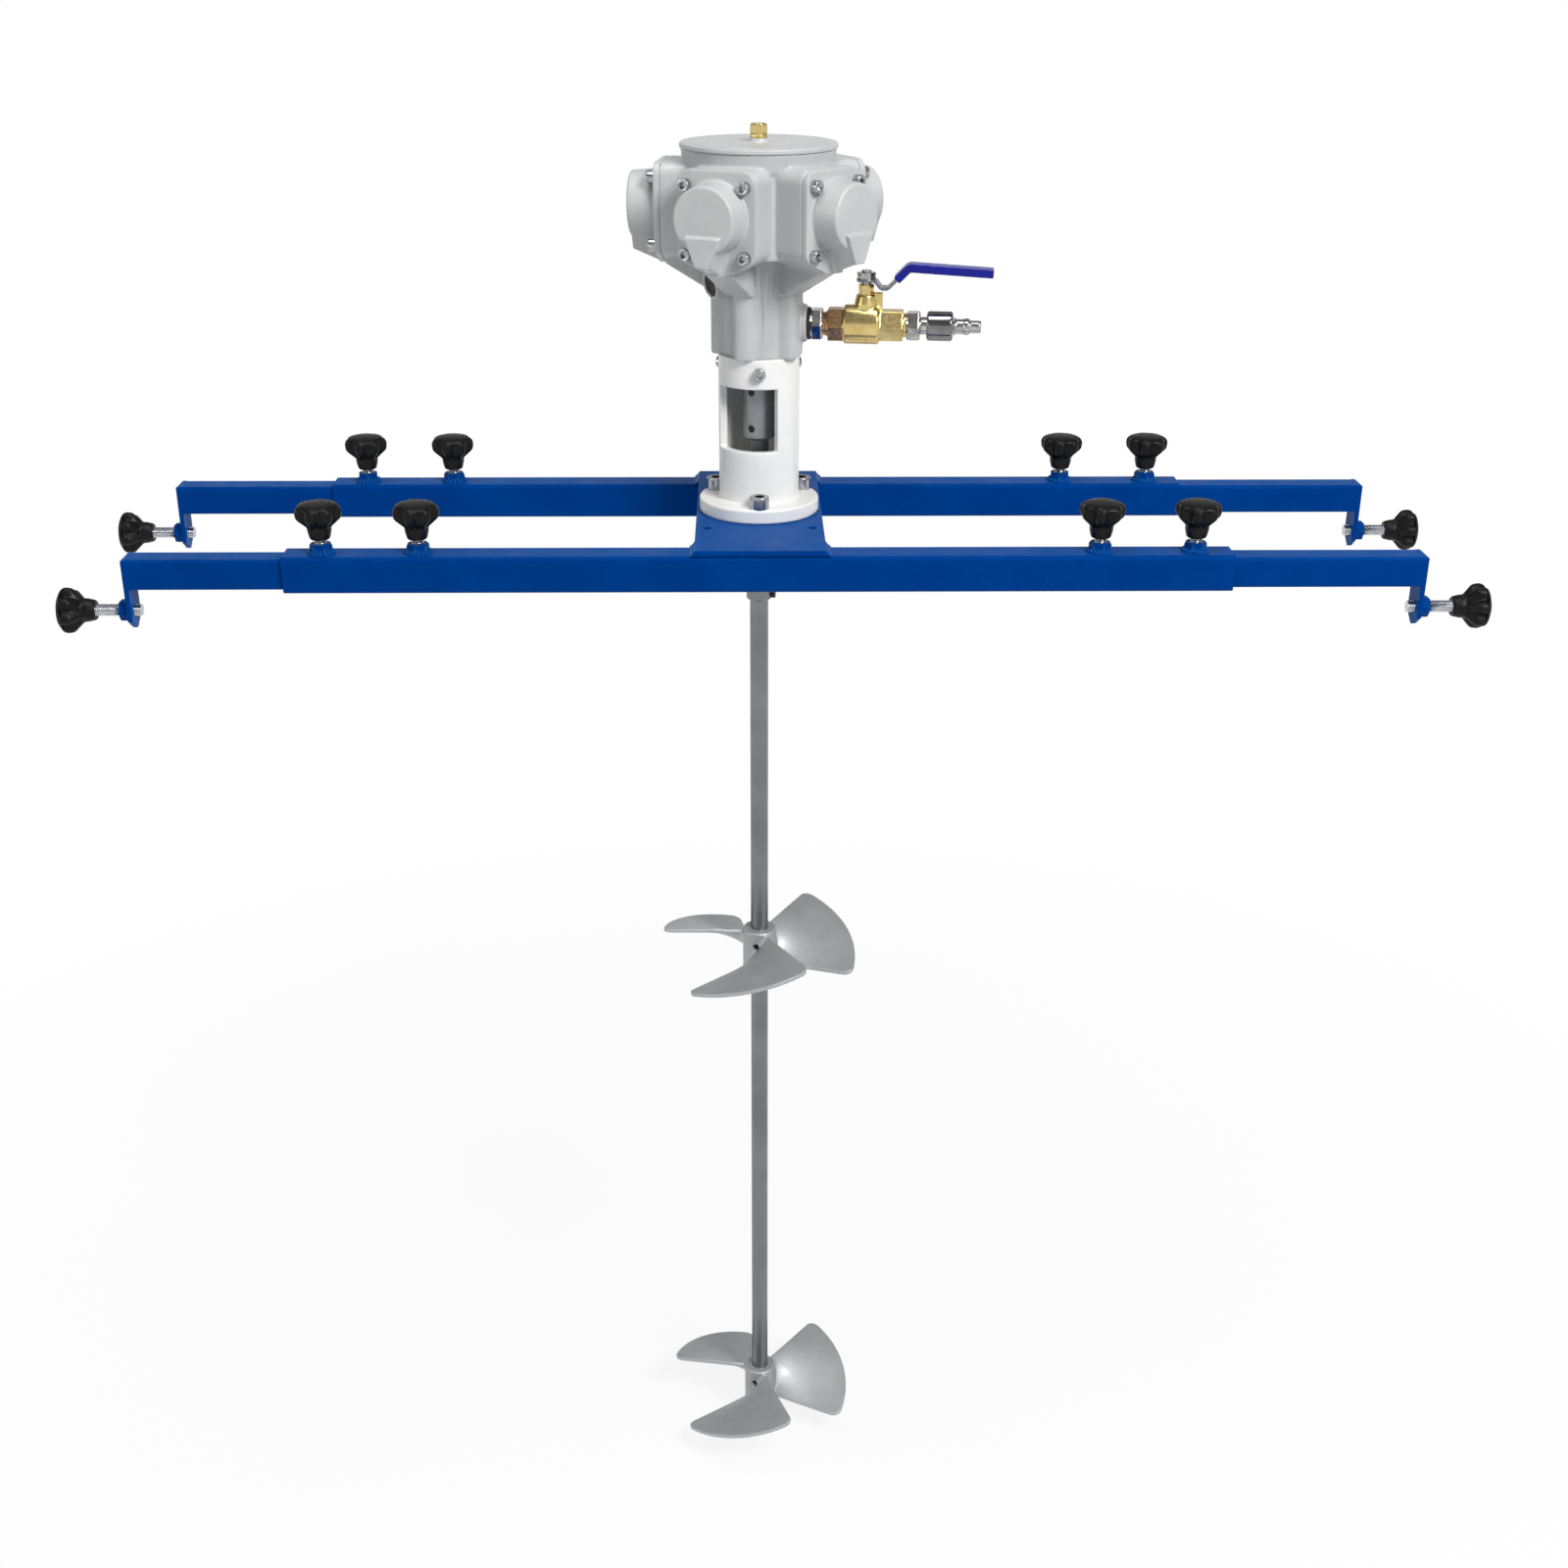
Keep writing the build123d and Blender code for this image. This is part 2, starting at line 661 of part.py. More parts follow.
with BuildPart() as exhaust_silencer:
    rod(exhaust_face, silencer_radius, exhaust_reach - 30 - silencer_depth,
        exhaust_reach - 30 - 1.5)
pieces["exhaust_silencer"] = exhaust_silencer

# Sealed ball bearings of the lantern and the motor
with BuildPart() as shaft_bearings:
    for bore, outer, bottom, width in (
        (shaft_radius, flange_bearing_radius, flange_thickness, flange_bearing_width),
        (lower_journal_radius, lower_bearing_radius, crankcase_floor - lower_bearing_width,
         lower_bearing_width),
        (upper_journal_radius, upper_bearing_radius, upper_bearing_top - upper_bearing_width,
         upper_bearing_width),
    ):
        turned(level(bottom), [(bore + running_fit, 0), (outer - bearing_edge, 0),
                               (outer - press_gap, bearing_edge),
                               (outer - press_gap, width - bearing_edge),
                               (outer - bearing_edge, width), (bore + running_fit, width)])
pieces["shaft_bearings"] = shaft_bearings

# Pistons at the outer end of their stroke, each with a rod and a slipper foot
foot_radius = crank_throw + crank_ring_radius + piston_foot_gap
with BuildPart() as pistons:
    for bearing in cylinder_bearings:
        axis_plane = outward(bearing, 0, cylinder_z)
        crown_start = piston_outer_end - piston_length
        turned(axis_plane, [(0, foot_radius), (piston_foot_radius, foot_radius),
                            (piston_foot_radius, foot_radius + piston_foot_thickness),
                            (piston_rod_radius, foot_radius + piston_foot_thickness),
                            (piston_rod_radius, crown_start),
                            (cylinder_bore - running_fit, crown_start),
                            (cylinder_bore - running_fit, piston_outer_end),
                            (0, piston_outer_end)])
pieces["pistons"] = pistons

# Crankshaft, with its pin off the axis, and the ring that turns on the pin
with BuildPart() as crankshaft:
    rod(level(0), shaft_radius, coupling_mid + shaft_end_gap, crankcase_floor)
    rod(level(0), lower_journal_radius, crankcase_floor - lower_bearing_width,
        crank_web_bottom)
    rod(level(0), crank_web_radius, crank_web_bottom, crank_web_bottom + crank_web_thickness)
    rod(Plane(origin=(0, -crank_throw, 0)), crankpin_radius,
        crank_web_bottom + crank_web_thickness, upper_web_bottom)
    rod(level(0), upper_web_radius, upper_web_bottom, upper_web_bottom + upper_web_thickness)
    rod(level(0), upper_journal_radius, upper_web_bottom, upper_bearing_top - body_clearance)
pieces["crankshaft"] = crankshaft

with BuildPart() as crank_ring:
    turned(Plane(origin=(0, -crank_throw, cylinder_z)),
           [(crankpin_radius + press_gap, -crank_ring_height / 2),
            (crank_ring_radius, -crank_ring_height / 2),
            (crank_ring_radius, crank_ring_height / 2),
            (crankpin_radius + press_gap, crank_ring_height / 2)])
pieces["crank_ring"] = crank_ring

# Coupling, spindle, sleeve and stirring shaft
coupling_screw_zs = [coupling_mid - coupling_screw_offset, coupling_mid + coupling_screw_offset]
with BuildPart() as shaft_coupling:
    turned(level(0), [(shaft_radius + press_gap, coupling_bottom),
                      (coupling_radius - coupling_chamfer, coupling_bottom),
                      (coupling_radius, coupling_bottom + coupling_chamfer),
                      (coupling_radius, coupling_top - coupling_chamfer),
                      (coupling_radius - coupling_chamfer, coupling_top),
                      (shaft_radius + press_gap, coupling_top)])
    for height in coupling_screw_zs:
        rod(outward(coupling_screw_bearing, 0, height), set_screw_radius + press_gap,
            shaft_radius, coupling_radius, mode=Mode.SUBTRACT)
pieces["shaft_coupling"] = shaft_coupling

with BuildPart() as spindle:
    rod(level(0), shaft_radius, sleeve_mid + shaft_end_gap, coupling_mid - shaft_end_gap)
pieces["spindle"] = spindle

with BuildPart() as shaft_sleeve:
    turned(level(0), [(shaft_radius + press_gap, sleeve_bottom),
                      (sleeve_radius - sleeve_chamfer, sleeve_bottom),
                      (sleeve_radius, sleeve_bottom + sleeve_chamfer),
                      (sleeve_radius, sleeve_top - sleeve_chamfer),
                      (sleeve_radius - sleeve_chamfer, sleeve_top),
                      (shaft_radius + press_gap, sleeve_top)])
    for height in (sleeve_bottom + sleeve_screw_drop, sleeve_top - sleeve_screw_drop):
        rod(outward(sleeve_screw_bearing, 0, height), set_screw_radius + press_gap,
            shaft_radius, sleeve_radius, mode=Mode.SUBTRACT)
pieces["shaft_sleeve"] = shaft_sleeve

with BuildPart() as stirring_shaft:
    turned(level(0), [(0, shaft_bottom), (shaft_radius - shaft_chamfer, shaft_bottom),
                      (shaft_radius, shaft_bottom + shaft_chamfer),
                      (shaft_radius, sleeve_mid - shaft_end_gap),
                      (0, sleeve_mid - shaft_end_gap)])
pieces["stirring_shaft"] = stirring_shaft

# One impeller blade about the origin, swept up a helix and trimmed to its plan outline
blade_inner = (shaft_radius + impeller_hub_radius) / 2
with BuildLine() as rise:
    Helix(impeller_pitch, blade_rise, impeller_radius / 2, center=(0, 0, -blade_rise / 2))
with BuildSketch(Plane.XZ) as blade_root:
    with Locations(((blade_inner + impeller_radius) / 2, -blade_rise / 2)):
        Rectangle(impeller_radius - blade_inner, blade_thickness)
with BuildSketch(level(-blade_rise)) as plan:
    with BuildLine():
        Line((0, 0), (impeller_radius, 0))
        CenterArc((0, 0), impeller_radius, 0, blade_sweep)
        Line((0, 0), PolarLine((0, 0), impeller_radius, blade_sweep, mode=Mode.PRIVATE) @ 1)
    make_face()
    fillet(plan.vertices().sort_by_distance((0, 0))[-2:], radius=blade_corner)
with BuildPart() as one_blade:
    sweep(blade_root.sketch, path=rise.line, is_frenet=True)
    extrude(plan.sketch, amount=2 * blade_rise, mode=Mode.INTERSECT)

# Impellers: three blades on a hub, with a screw hole and a slot in the hub
for name, middle in impeller_heights.items():
    screw_z = middle + hub_screw_offset
    screw_bearing = impeller_turns[name] + hub_screw_from_blade
    start_angle = impeller_turns[name] - blade_sweep - 90
    with BuildPart() as impeller:
        rod(level(middle), impeller_hub_radius, -impeller_hub_length / 2,
            impeller_hub_length / 2)
        chamfer(impeller.edges().filter_by(GeomType.CIRCLE), length=hub_chamfer)
        with Locations((0, 0, middle + blade_mid_offset)):
            with PolarLocations(0, impeller_blades, start_angle=start_angle):
                add(one_blade.part)
        rod(level(middle), shaft_radius + press_gap, -impeller_hub_length / 2,
            impeller_hub_length / 2, mode=Mode.SUBTRACT)
        rod(outward(screw_bearing, 0, screw_z), set_screw_radius + press_gap, shaft_radius,
            impeller_hub_radius + 1, mode=Mode.SUBTRACT)
        with BuildSketch(outward(screw_bearing + hub_slot_from_screw,
                                 impeller_hub_radius - hub_slot_depth, screw_z)):
            SlotOverall(hub_slot_length, hub_slot_width, rotation=90)
        extrude(amount=2 * hub_slot_depth, mode=Mode.SUBTRACT)
    pieces[f"{name}_impeller"] = impeller

# Set screws of the coupling, the sleeve and both hubs
with BuildPart() as set_screws:
    for height in coupling_screw_zs:
        rod(outward(coupling_screw_bearing, 0, height), set_screw_radius,
            shaft_radius + press_gap, coupling_radius - set_screw_recess)
    for height in (sleeve_bottom + sleeve_screw_drop, sleeve_top - sleeve_screw_drop):
        frame = outward(sleeve_screw_bearing, 0, height)
        rod(frame, set_screw_radius, shaft_radius + press_gap, sleeve_radius)
        rod(frame, sleeve_screw_head_radius, sleeve_radius,
            sleeve_radius + sleeve_screw_head_height)
    for name, middle in impeller_heights.items():
        frame = outward(impeller_turns[name] + hub_screw_from_blade, 0,
                        middle + hub_screw_offset)
        rod(frame, set_screw_radius, shaft_radius + press_gap,
            impeller_hub_radius - 2 * set_screw_recess)
pieces["set_screws"] = set_screws

# Inlet union with its seal ring
inlet_axis = outward(inlet_bearing, 0, inlet_z)
with BuildPart() as inlet_union:
    rod(inlet_axis, inlet_thread_radius, inlet_boss_reach - inlet_thread_depth,
        inlet_boss_reach)
    rod(inlet_axis, seal_radius, inlet_boss_reach, seal_end)
    hexagon(inlet_axis, union_hex_radius, seal_end, union_hex_end)
    rod(inlet_axis, union_neck_radius, union_hex_end, valve_start)
    rod(inlet_axis, union_thread_radius, valve_start, valve_start + union_thread_length)
    rod(inlet_axis, union_bore, inlet_boss_reach - inlet_thread_depth,
        valve_start + union_thread_length, mode=Mode.SUBTRACT)
pieces["inlet_union"] = inlet_union

# Ball valve: body with hexagon ends, bonnet, gland nut and stop
stem_foot = outward(inlet_bearing, stem_distance, 0).origin
stem_axis = Plane(origin=stem_foot, x_dir=inlet_axis.z_dir, z_dir=(0, 0, 1))
with BuildPart() as valve_body:
    hexagon(inlet_axis, valve_hex_radius, valve_start, valve_hex_end)
    turned(inlet_axis, [(0, valve_hex_end), (valve_body_radius - valve_edge, valve_hex_end),
                        (valve_body_radius, valve_hex_end + valve_edge),
                        (valve_body_radius, valve_body_end - valve_edge),
                        (valve_body_radius - valve_edge, valve_body_end),
                        (0, valve_body_end)])
    hexagon(inlet_axis, valve_outlet_radius, valve_body_end, valve_outlet_end)
    rod(inlet_axis, valve_neck_radius, valve_outlet_end, valve_neck_end)
    turned(stem_axis, [(0, bonnet_bottom_z), (bonnet_radius, bonnet_bottom_z),
                       (bonnet_radius, bonnet_top_z - 7), (bonnet_top_radius, bonnet_top_z),
                       (0, bonnet_top_z)])
    with BuildSketch(stem_axis.offset(stop_bottom_z)):
        with Locations((bonnet_top_radius - 1 + stop_length / 2, 0)):
            Rectangle(stop_length, stop_width)
    extrude(amount=stop_top_z - stop_bottom_z)
    hexagon(stem_axis, gland_radius, bonnet_top_z, gland_top_z)
    rod(inlet_axis, valve_bore, valve_start, valve_neck_end, mode=Mode.SUBTRACT)
    rod(inlet_axis, union_thread_radius + press_gap, valve_start,
        valve_start + union_thread_length, mode=Mode.SUBTRACT)
    rod(inlet_axis, nipple_thread_radius + press_gap, valve_neck_end - nipple_thread_length,
        valve_neck_end, mode=Mode.SUBTRACT)
    rod(stem_axis, stem_radius + running_fit, inlet_z, gland_top_z, mode=Mode.SUBTRACT)
    rod(inlet_axis, ball_radius + ball_clearance, stem_distance - ball_radius - ball_clearance,
        stem_distance + ball_radius + ball_clearance, mode=Mode.SUBTRACT)
pieces["valve_body"] = valve_body

with BuildPart() as valve_ball:
    with Locations(stem_foot + Vector(0, 0, inlet_z)):
        Sphere(ball_radius)
    rod(stem_axis, stem_radius, inlet_z, stem_top_z)
    rod(inlet_axis, valve_bore, stem_distance - 2 * ball_radius,
        stem_distance + 2 * ball_radius, mode=Mode.SUBTRACT)
pieces["valve_ball"] = valve_ball

# Lever: a bent strip on the stem, with a nut above it and a dipped grip
with BuildSketch(upright(inlet_bearing)) as lever_side:
    with BuildLine():
        FilletPolyline(*lever_route, lever_end, radius=lever_bend)
    trace(line_width=lever_thickness)
lever_top_z = lever_route[0][1] + lever_thickness / 2
with BuildPart() as lever:
    extrude(lever_side.sketch, amount=lever_width / 2, both=True)
    rod(stem_axis, lever_eye_radius, lever_top_z - lever_thickness, lever_top_z)
    rod(stem_axis, stem_radius + press_gap, lever_top_z - lever_thickness, lever_top_z,
        mode=Mode.SUBTRACT)
pieces["lever"] = lever

with BuildPart() as lever_nut:
    hexagon(stem_axis, lever_nut_radius, lever_top_z, lever_top_z + lever_nut_height)
    rod(stem_axis, stem_radius + press_gap, lever_top_z, lever_top_z + lever_nut_height,
        mode=Mode.SUBTRACT)
pieces["lever_nut"] = lever_nut

with BuildSketch(upright(inlet_bearing)) as grip_side:
    grip_start = (lever_route[-1][0] + grip_start_z - lever_route[-1][1], grip_start_z)
    grip_end = (lever_end[0] + grip_wall, lever_end[1])
    with BuildLine():
        FilletPolyline(grip_start, lever_route[-1], grip_end, radius=lever_bend)
    trace(line_width=grip_thickness)
with BuildPart() as lever_grip:
    extrude(grip_side.sketch, amount=grip_width / 2, both=True)
    add(lever.part, mode=Mode.SUBTRACT)
pieces["lever_grip"] = lever_grip

# Hose nipple and quick plug
with BuildPart() as hose_nipple:
    rod(inlet_axis, nipple_thread_radius, valve_neck_end - nipple_thread_length,
        valve_neck_end)
    hexagon(inlet_axis, nipple_hex_radius, valve_neck_end, nipple_hex_end)
    rod(inlet_axis, nipple_neck_radius, nipple_hex_end, plug_start)
    rod(inlet_axis, plug_inner_thread, plug_start, plug_start + plug_thread_length)
    rod(inlet_axis, nipple_bore, valve_neck_end - nipple_thread_length,
        plug_start + plug_thread_length, mode=Mode.SUBTRACT)
pieces["hose_nipple"] = hose_nipple

with BuildPart() as quick_plug:
    turned(inlet_axis, [(plug_inner_thread + press_gap, plug_start),
                        (plug_barrel_radius - 1, plug_start),
                        (plug_barrel_radius, plug_start + 1),
                        (plug_barrel_radius, plug_barrel_end - 2),
                        (plug_barrel_radius - 2, plug_barrel_end),
                        (plug_nose_radius, plug_barrel_end),
                        (plug_nose_radius, plug_bump_start - 2),
                        (plug_bump_radius, plug_bump_start), (plug_bump_radius, plug_bump_end),
                        (plug_tip_radius, plug_bump_end + 2), (plug_tip_radius, plug_end),
                        (nipple_bore, plug_end),
                        (nipple_bore, plug_start + plug_thread_length),
                        (plug_inner_thread + press_gap, plug_start + plug_thread_length)])
pieces["quick_plug"] = quick_plug

os.makedirs("parts", exist_ok=True)
for name, piece in pieces.items():
    piece.part.label = name
    export_step(piece.part, f"parts/{name}.step")
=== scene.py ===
"""Looks of an air-driven container mixer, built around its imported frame.

The scene is in metres: the origin is the middle of the bridge plate's top face, +Z is up,
+X runs along the rails and the viewer stands at -Y. Sizes held in classes are millimetres.
A bearing of 0 degrees faces the viewer, and bearings grow towards +X.
"""
import logging
import math
from collections.abc import Callable, Iterable, Sequence
from dataclasses import dataclass, field, replace
from enum import Enum

import bmesh
import bpy
from mathutils import Matrix, Vector


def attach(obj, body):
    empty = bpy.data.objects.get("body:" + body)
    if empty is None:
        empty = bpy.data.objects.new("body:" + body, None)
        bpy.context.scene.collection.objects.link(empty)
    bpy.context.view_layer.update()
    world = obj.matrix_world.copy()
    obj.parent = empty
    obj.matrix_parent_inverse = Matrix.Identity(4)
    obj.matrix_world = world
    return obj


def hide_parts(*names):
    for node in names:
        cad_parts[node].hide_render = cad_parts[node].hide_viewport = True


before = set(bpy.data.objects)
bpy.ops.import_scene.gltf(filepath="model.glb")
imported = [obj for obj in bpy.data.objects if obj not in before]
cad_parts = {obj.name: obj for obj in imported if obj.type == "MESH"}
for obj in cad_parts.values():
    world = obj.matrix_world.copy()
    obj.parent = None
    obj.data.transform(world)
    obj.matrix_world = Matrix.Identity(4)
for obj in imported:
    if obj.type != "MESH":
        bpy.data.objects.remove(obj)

logging.basicConfig(level=logging.INFO, format="%(levelname)s %(message)s")
LOG = logging.getLogger("mixer")

MM = 0.001
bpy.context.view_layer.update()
SMOOTH_ANGLE = math.radians(34)
# Points nearer than these, in metres, become one: at the seam of a rule's grid, in a
# finished piece and in a copy of a CAD mesh.
SEAM_GAP, PIECE_GAP, CAD_GAP = 1e-6, 1e-7, 2e-6
# Longest part of an edge that a rounded corner may take.
CORNER_SHARE = 0.49
# Length of one band of the wave texture at scale 1, in metres.
WAVE_BAND = 0.31
# The part of a noise's values that a finish spreads over its whole range.
COLOUR_SPAN = {"From Min": 0.32, "From Max": 0.68}
POLISH_SPAN = {"From Min": 0.3, "From Max": 0.7}
# Pointiness where an edge starts to turn lighter and where it is lightest: rubbed wear, and on
# the blue powder coat a painted highlight.
WEAR_AND_HIGHLIGHT_SPAN = {"From Min": 0.535, "From Max": 0.6, "To Max": 0.75}
# Exponent that narrows the hollows between lobes.
HOLLOW_POWER = 1.5
# Points of a blade's block and the exponent that crowds them towards the tip.
BLADE_POINTS = {"Vertices X": 44, "Vertices Y": 56, "Vertices Z": 3}
CROWDING = 1.5
# Share by which a weld bead's radius strays, and points round the bead.
BEAD_STRAY = 0.12
BEAD_SIDES = 10


class Body(Enum):
    """Bodies of the frame that are named alone; arms and clamps take their nodes' names."""

    BRIDGE = "bridge"
    SHAFT = "mixing_shaft"
    LEVER = "valve_lever"


class Lay(Enum):
    """Way a finish's fine texture runs, as the stretch of its coordinates on X, Y and Z."""

    EVEN = (1.0, 1.0, 1.0)
    ROUND_Z = (0.04, 0.04, 1.0)
    ROUND_X = (1.0, 0.04, 0.04)
    ALONG_X = (0.03, 1.0, 1.0)


def linear(code: str) -> tuple[float, float, float, float]:
    """Turns an sRGB hex colour into the linear colour that shaders read.

    Args:
        code: Six hex digits, with or without a leading hash.

    Returns:
        Red, green, blue and an alpha of 1.
    """
    code = code.lstrip("#")
    parts = [int(code[i:i + 2], 16) / 255 for i in (0, 2, 4)]
    red, green, blue = (
        part / 12.92 if part <= 0.04045 else ((part + 0.055) / 1.055) ** 2.4 for part in parts
    )
    return (red, green, blue, 1.0)


def add(tree: bpy.types.NodeTree, kind: str, inputs: dict | None = None,
        **settings: object) -> bpy.types.Node:
    """Adds a node with its settings and links.

    Args:
        tree: Tree of a material, a world or a modifier.
        kind: Node's type name.
        inputs: Value, socket or node for each input, by name or number; a node gives its
            first output.
        **settings: Properties of the node.

    Returns:
        The new node.
    """
    node = tree.nodes.new(kind)
    for key, value in settings.items():
        setattr(node, key, value)
    for key, value in (inputs or {}).items():
        if isinstance(value, bpy.types.Node):
            value = value.outputs[0]
        if isinstance(value, bpy.types.NodeSocket):
            tree.links.new(value, node.inputs[key])
        else:
            node.inputs[key].default_value = value
    return node


def empty_tree(owner: bpy.types.Material | bpy.types.World) -> bpy.types.NodeTree:
    """Clears the nodes of a material or world.

    Args:
        owner: The material or world.

    Returns:
        Its empty tree.
    """
    owner.use_nodes = True
    owner.node_tree.nodes.clear()
    return owner.node_tree


@dataclass(frozen=True)
class Finish:
    """Surface of one real material.

    Args:
        title: Name of the material.
        colour: Main colour, sRGB.
        shade: Second colour, which drifts through the first.
        drift_mm: Size of the colour's drift.
        metallic: 1 for bare metal.
        roughness: Middle of the roughness.
        swing: How far the roughness strays from its middle.
        grain_mm: Size of the fine relief.
        depth_mm: Height of the fine relief.
        lay: Direction of the fine relief.
        wear_and_highlight: Colour of lighter edges, or None: rubbed wear, and on the blue
            powder coat a painted highlight.
        coat: Weight of a clear gloss over the colour.
        specular: Strength of the plain reflection; 0.5 is the usual one.
        gleam: Colour of the plain reflection and of the bloom.
        bloom: Weight of the soft sheen that a flat look along the surface brings out.
    """

    title: str
    colour: str
    shade: str
    drift_mm: float = 40.0
    metallic: float = 0.0
    roughness: float = 0.4
    swing: float = 0.06
    grain_mm: float = 1.0
    depth_mm: float = 0.02
    lay: Lay = Lay.EVEN
    wear_and_highlight: str | None = None
    coat: float = 0.0
    specular: float = 0.5
    gleam: str = "#FFFFFF"
    bloom: float = 0.0

    def material(self) -> bpy.types.Material:
        """Makes the material once, and returns it again after that."""
        known = bpy.data.materials.get(self.title)
        if known:
            return known
        made = bpy.data.materials.new(self.title)
        tree = empty_tree(made)
        place = add(tree, "ShaderNodeTexCoord").outputs["Object"]
        shader = add(tree, "ShaderNodeBsdfPrincipled", {
            "Metallic": self.metallic, "Coat Weight": self.coat, "Coat Roughness": 0.12,
            "Specular IOR Level": self.specular, "Specular Tint": linear(self.gleam),
            "Sheen Weight": self.bloom, "Sheen Tint": linear(self.gleam),
            "Sheen Roughness": 0.4, "Base Color": self.tint(tree, place),
            "Roughness": self.polish(tree, place), "Normal": self.relief(tree, place),
        })
        add(tree, "ShaderNodeOutputMaterial", {"Surface": shader})
        return made

    def tint(self, tree: bpy.types.NodeTree,
             place: bpy.types.NodeSocket) -> bpy.types.NodeSocket:
        """Draws the colour: a slow drift between two shades, and lighter edges, which are
        rubbed wear and, on the blue powder coat, a painted highlight.

        Args:
            tree: The material's tree.
            place: Object coordinates.

        Returns:
            Socket of the colour.
        """
        drift = add(tree, "ShaderNodeTexNoise", {
            "Vector": place, "Scale": 1 / (self.drift_mm * MM), "Detail": 5.0,
            "Roughness": 0.6})
        spread = add(tree, "ShaderNodeMapRange", {"Value": drift, **COLOUR_SPAN})
        colour = add(tree, "ShaderNodeMix", {
            0: spread, 6: linear(self.colour), 7: linear(self.shade)}, data_type="RGBA")
        if self.wear_and_highlight is None:
            return colour.outputs[2]
        # Lighter edges by pointiness: rubbed wear, and a painted highlight on the blue powder
        # coat.
        edge = add(tree, "ShaderNodeNewGeometry").outputs["Pointiness"]
        lighter_edge = add(tree, "ShaderNodeMapRange", {"Value": edge, **WEAR_AND_HIGHLIGHT_SPAN})
        edged_colour = add(tree, "ShaderNodeMix", {
            0: lighter_edge, 6: colour.outputs[2], 7: linear(self.wear_and_highlight)}, data_type="RGBA")
        return edged_colour.outputs[2]

    def polish(self, tree: bpy.types.NodeTree, place: bpy.types.NodeSocket) -> bpy.types.Node:
        """Draws the roughness, patchy at a third of the colour's drift.

        Args:
            tree: The material's tree.
            place: Object coordinates.

        Returns:
            Node of the roughness.
        """
        patch = add(tree, "ShaderNodeTexNoise", {
            "Vector": place, "Scale": 3 / (self.drift_mm * MM), "Detail": 4.0})
        return add(tree, "ShaderNodeMapRange", {
            "Value": patch, "To Min": self.roughness - self.swing,
            "To Max": self.roughness + self.swing, **POLISH_SPAN})

    def relief(self, tree: bpy.types.NodeTree, place: bpy.types.NodeSocket) -> bpy.types.Node:
        """Draws the fine relief along the finish's lay.

        Args:
            tree: The material's tree.
            place: Object coordinates.

        Returns:
            Node of the bumped normal.
        """
        along = add(tree, "ShaderNodeMapping", {"Vector": place, "Scale": self.lay.value})
        grain = add(tree, "ShaderNodeTexNoise", {
            "Vector": along, "Scale": 1 / (self.grain_mm * MM), "Detail": 3.0,
            "Roughness": 0.55})
        return add(tree, "ShaderNodeBump", {
            "Height": grain, "Distance": self.depth_mm * MM, "Strength": 0.8})


@dataclass(frozen=True)
class WovenFinish(Finish):
    """Surface of wire cloth: dark gaps between round wires.

    Args:
        wire_mm: Distance from wire to wire.
    """

    wire_mm: float = 1.2

    def relief(self, tree: bpy.types.NodeTree, place: bpy.types.NodeSocket) -> bpy.types.Node:
        """Draws crossing wires instead of a grain.

        Args:
            tree: The material's tree.
            place: Object coordinates.

        Returns:
            Node of the bumped normal.
        """
        waves = [
            add(tree, "ShaderNodeTexWave", {
                "Vector": place, "Scale": WAVE_BAND / (self.wire_mm * MM)},
                bands_direction=axis)
            for axis in ("X", "Z")
        ]
        cloth = add(tree, "ShaderNodeMath", {0: waves[0].outputs[1], 1: waves[1].outputs[1]},
                    operation="MULTIPLY")
        return add(tree, "ShaderNodeBump", {
            "Height": cloth, "Distance": self.depth_mm * MM, "Strength": 1.0})


# Polyester powder coat on mild steel: deep glossy blue with a faint orange peel; its lighter
# edges are a painted highlight along the rounded corners.
POWDER_COAT = Finish("blue_powder_coat", "#00377F", "#003076", 60, roughness=0.4,
                     specular=0.06, gleam="#2FA4FF", bloom=0.5, grain_mm=2.2, depth_mm=0.035,
                     wear_and_highlight="#1D5FA8")
# The same coat on the long tubes, whose corners get no painted highlight.
TUBE_COAT = replace(POWDER_COAT, title="blue_powder_coat_on_tube", wear_and_highlight=None)
# Two-part paint on sand-cast aluminium: satin light grey over a soft cast skin.
CAST_PAINT = Finish("grey_painted_casting", "#B8B9B9", "#AEB0B1", 30, roughness=0.42,
                    grain_mm=1.1, depth_mm=0.05, wear_and_highlight="#DCDDDD", coat=0.1)
# The same paint in off-white on turned steel: smoother than the casting.
LANTERN_PAINT = Finish("white_painted_steel", "#EAEAE8", "#E2E2E0", 45, roughness=0.38,
                       grain_mm=1.6, depth_mm=0.02, wear_and_highlight="#EFEFED", coat=0.1)
# Glass-filled nylon straight from the mould: near black, with a dull grey bloom.
NYLON = Finish("moulded_nylon", "#070707", "#0F0E0E", 9, roughness=0.42, swing=0.1,
               specular=0.17, grain_mm=0.7, depth_mm=0.03, wear_and_highlight="#2A2A2C")
# Zinc plate on machine screws: bright, slightly milky.
ZINC = Finish("bright_zinc_plate", "#C9CBCE", "#AEB1B6", 5, metallic=1.0, roughness=0.2,
              grain_mm=0.8, depth_mm=0.006)
# Socket screws of polished stainless: darker in the recess.
SOCKET_STEEL = Finish("screw_steel", "#B9BBBE", "#8F9296", 4, metallic=1.0, roughness=0.22,
                      grain_mm=0.8, depth_mm=0.006)
# Turned stainless shaft: satin with fine rings left by the tool.
TURNED = Finish("turned_stainless", "#85878A", "#747678", 70, metallic=1.0, roughness=0.36,
                grain_mm=1.1, depth_mm=0.012, lay=Lay.ROUND_Z)
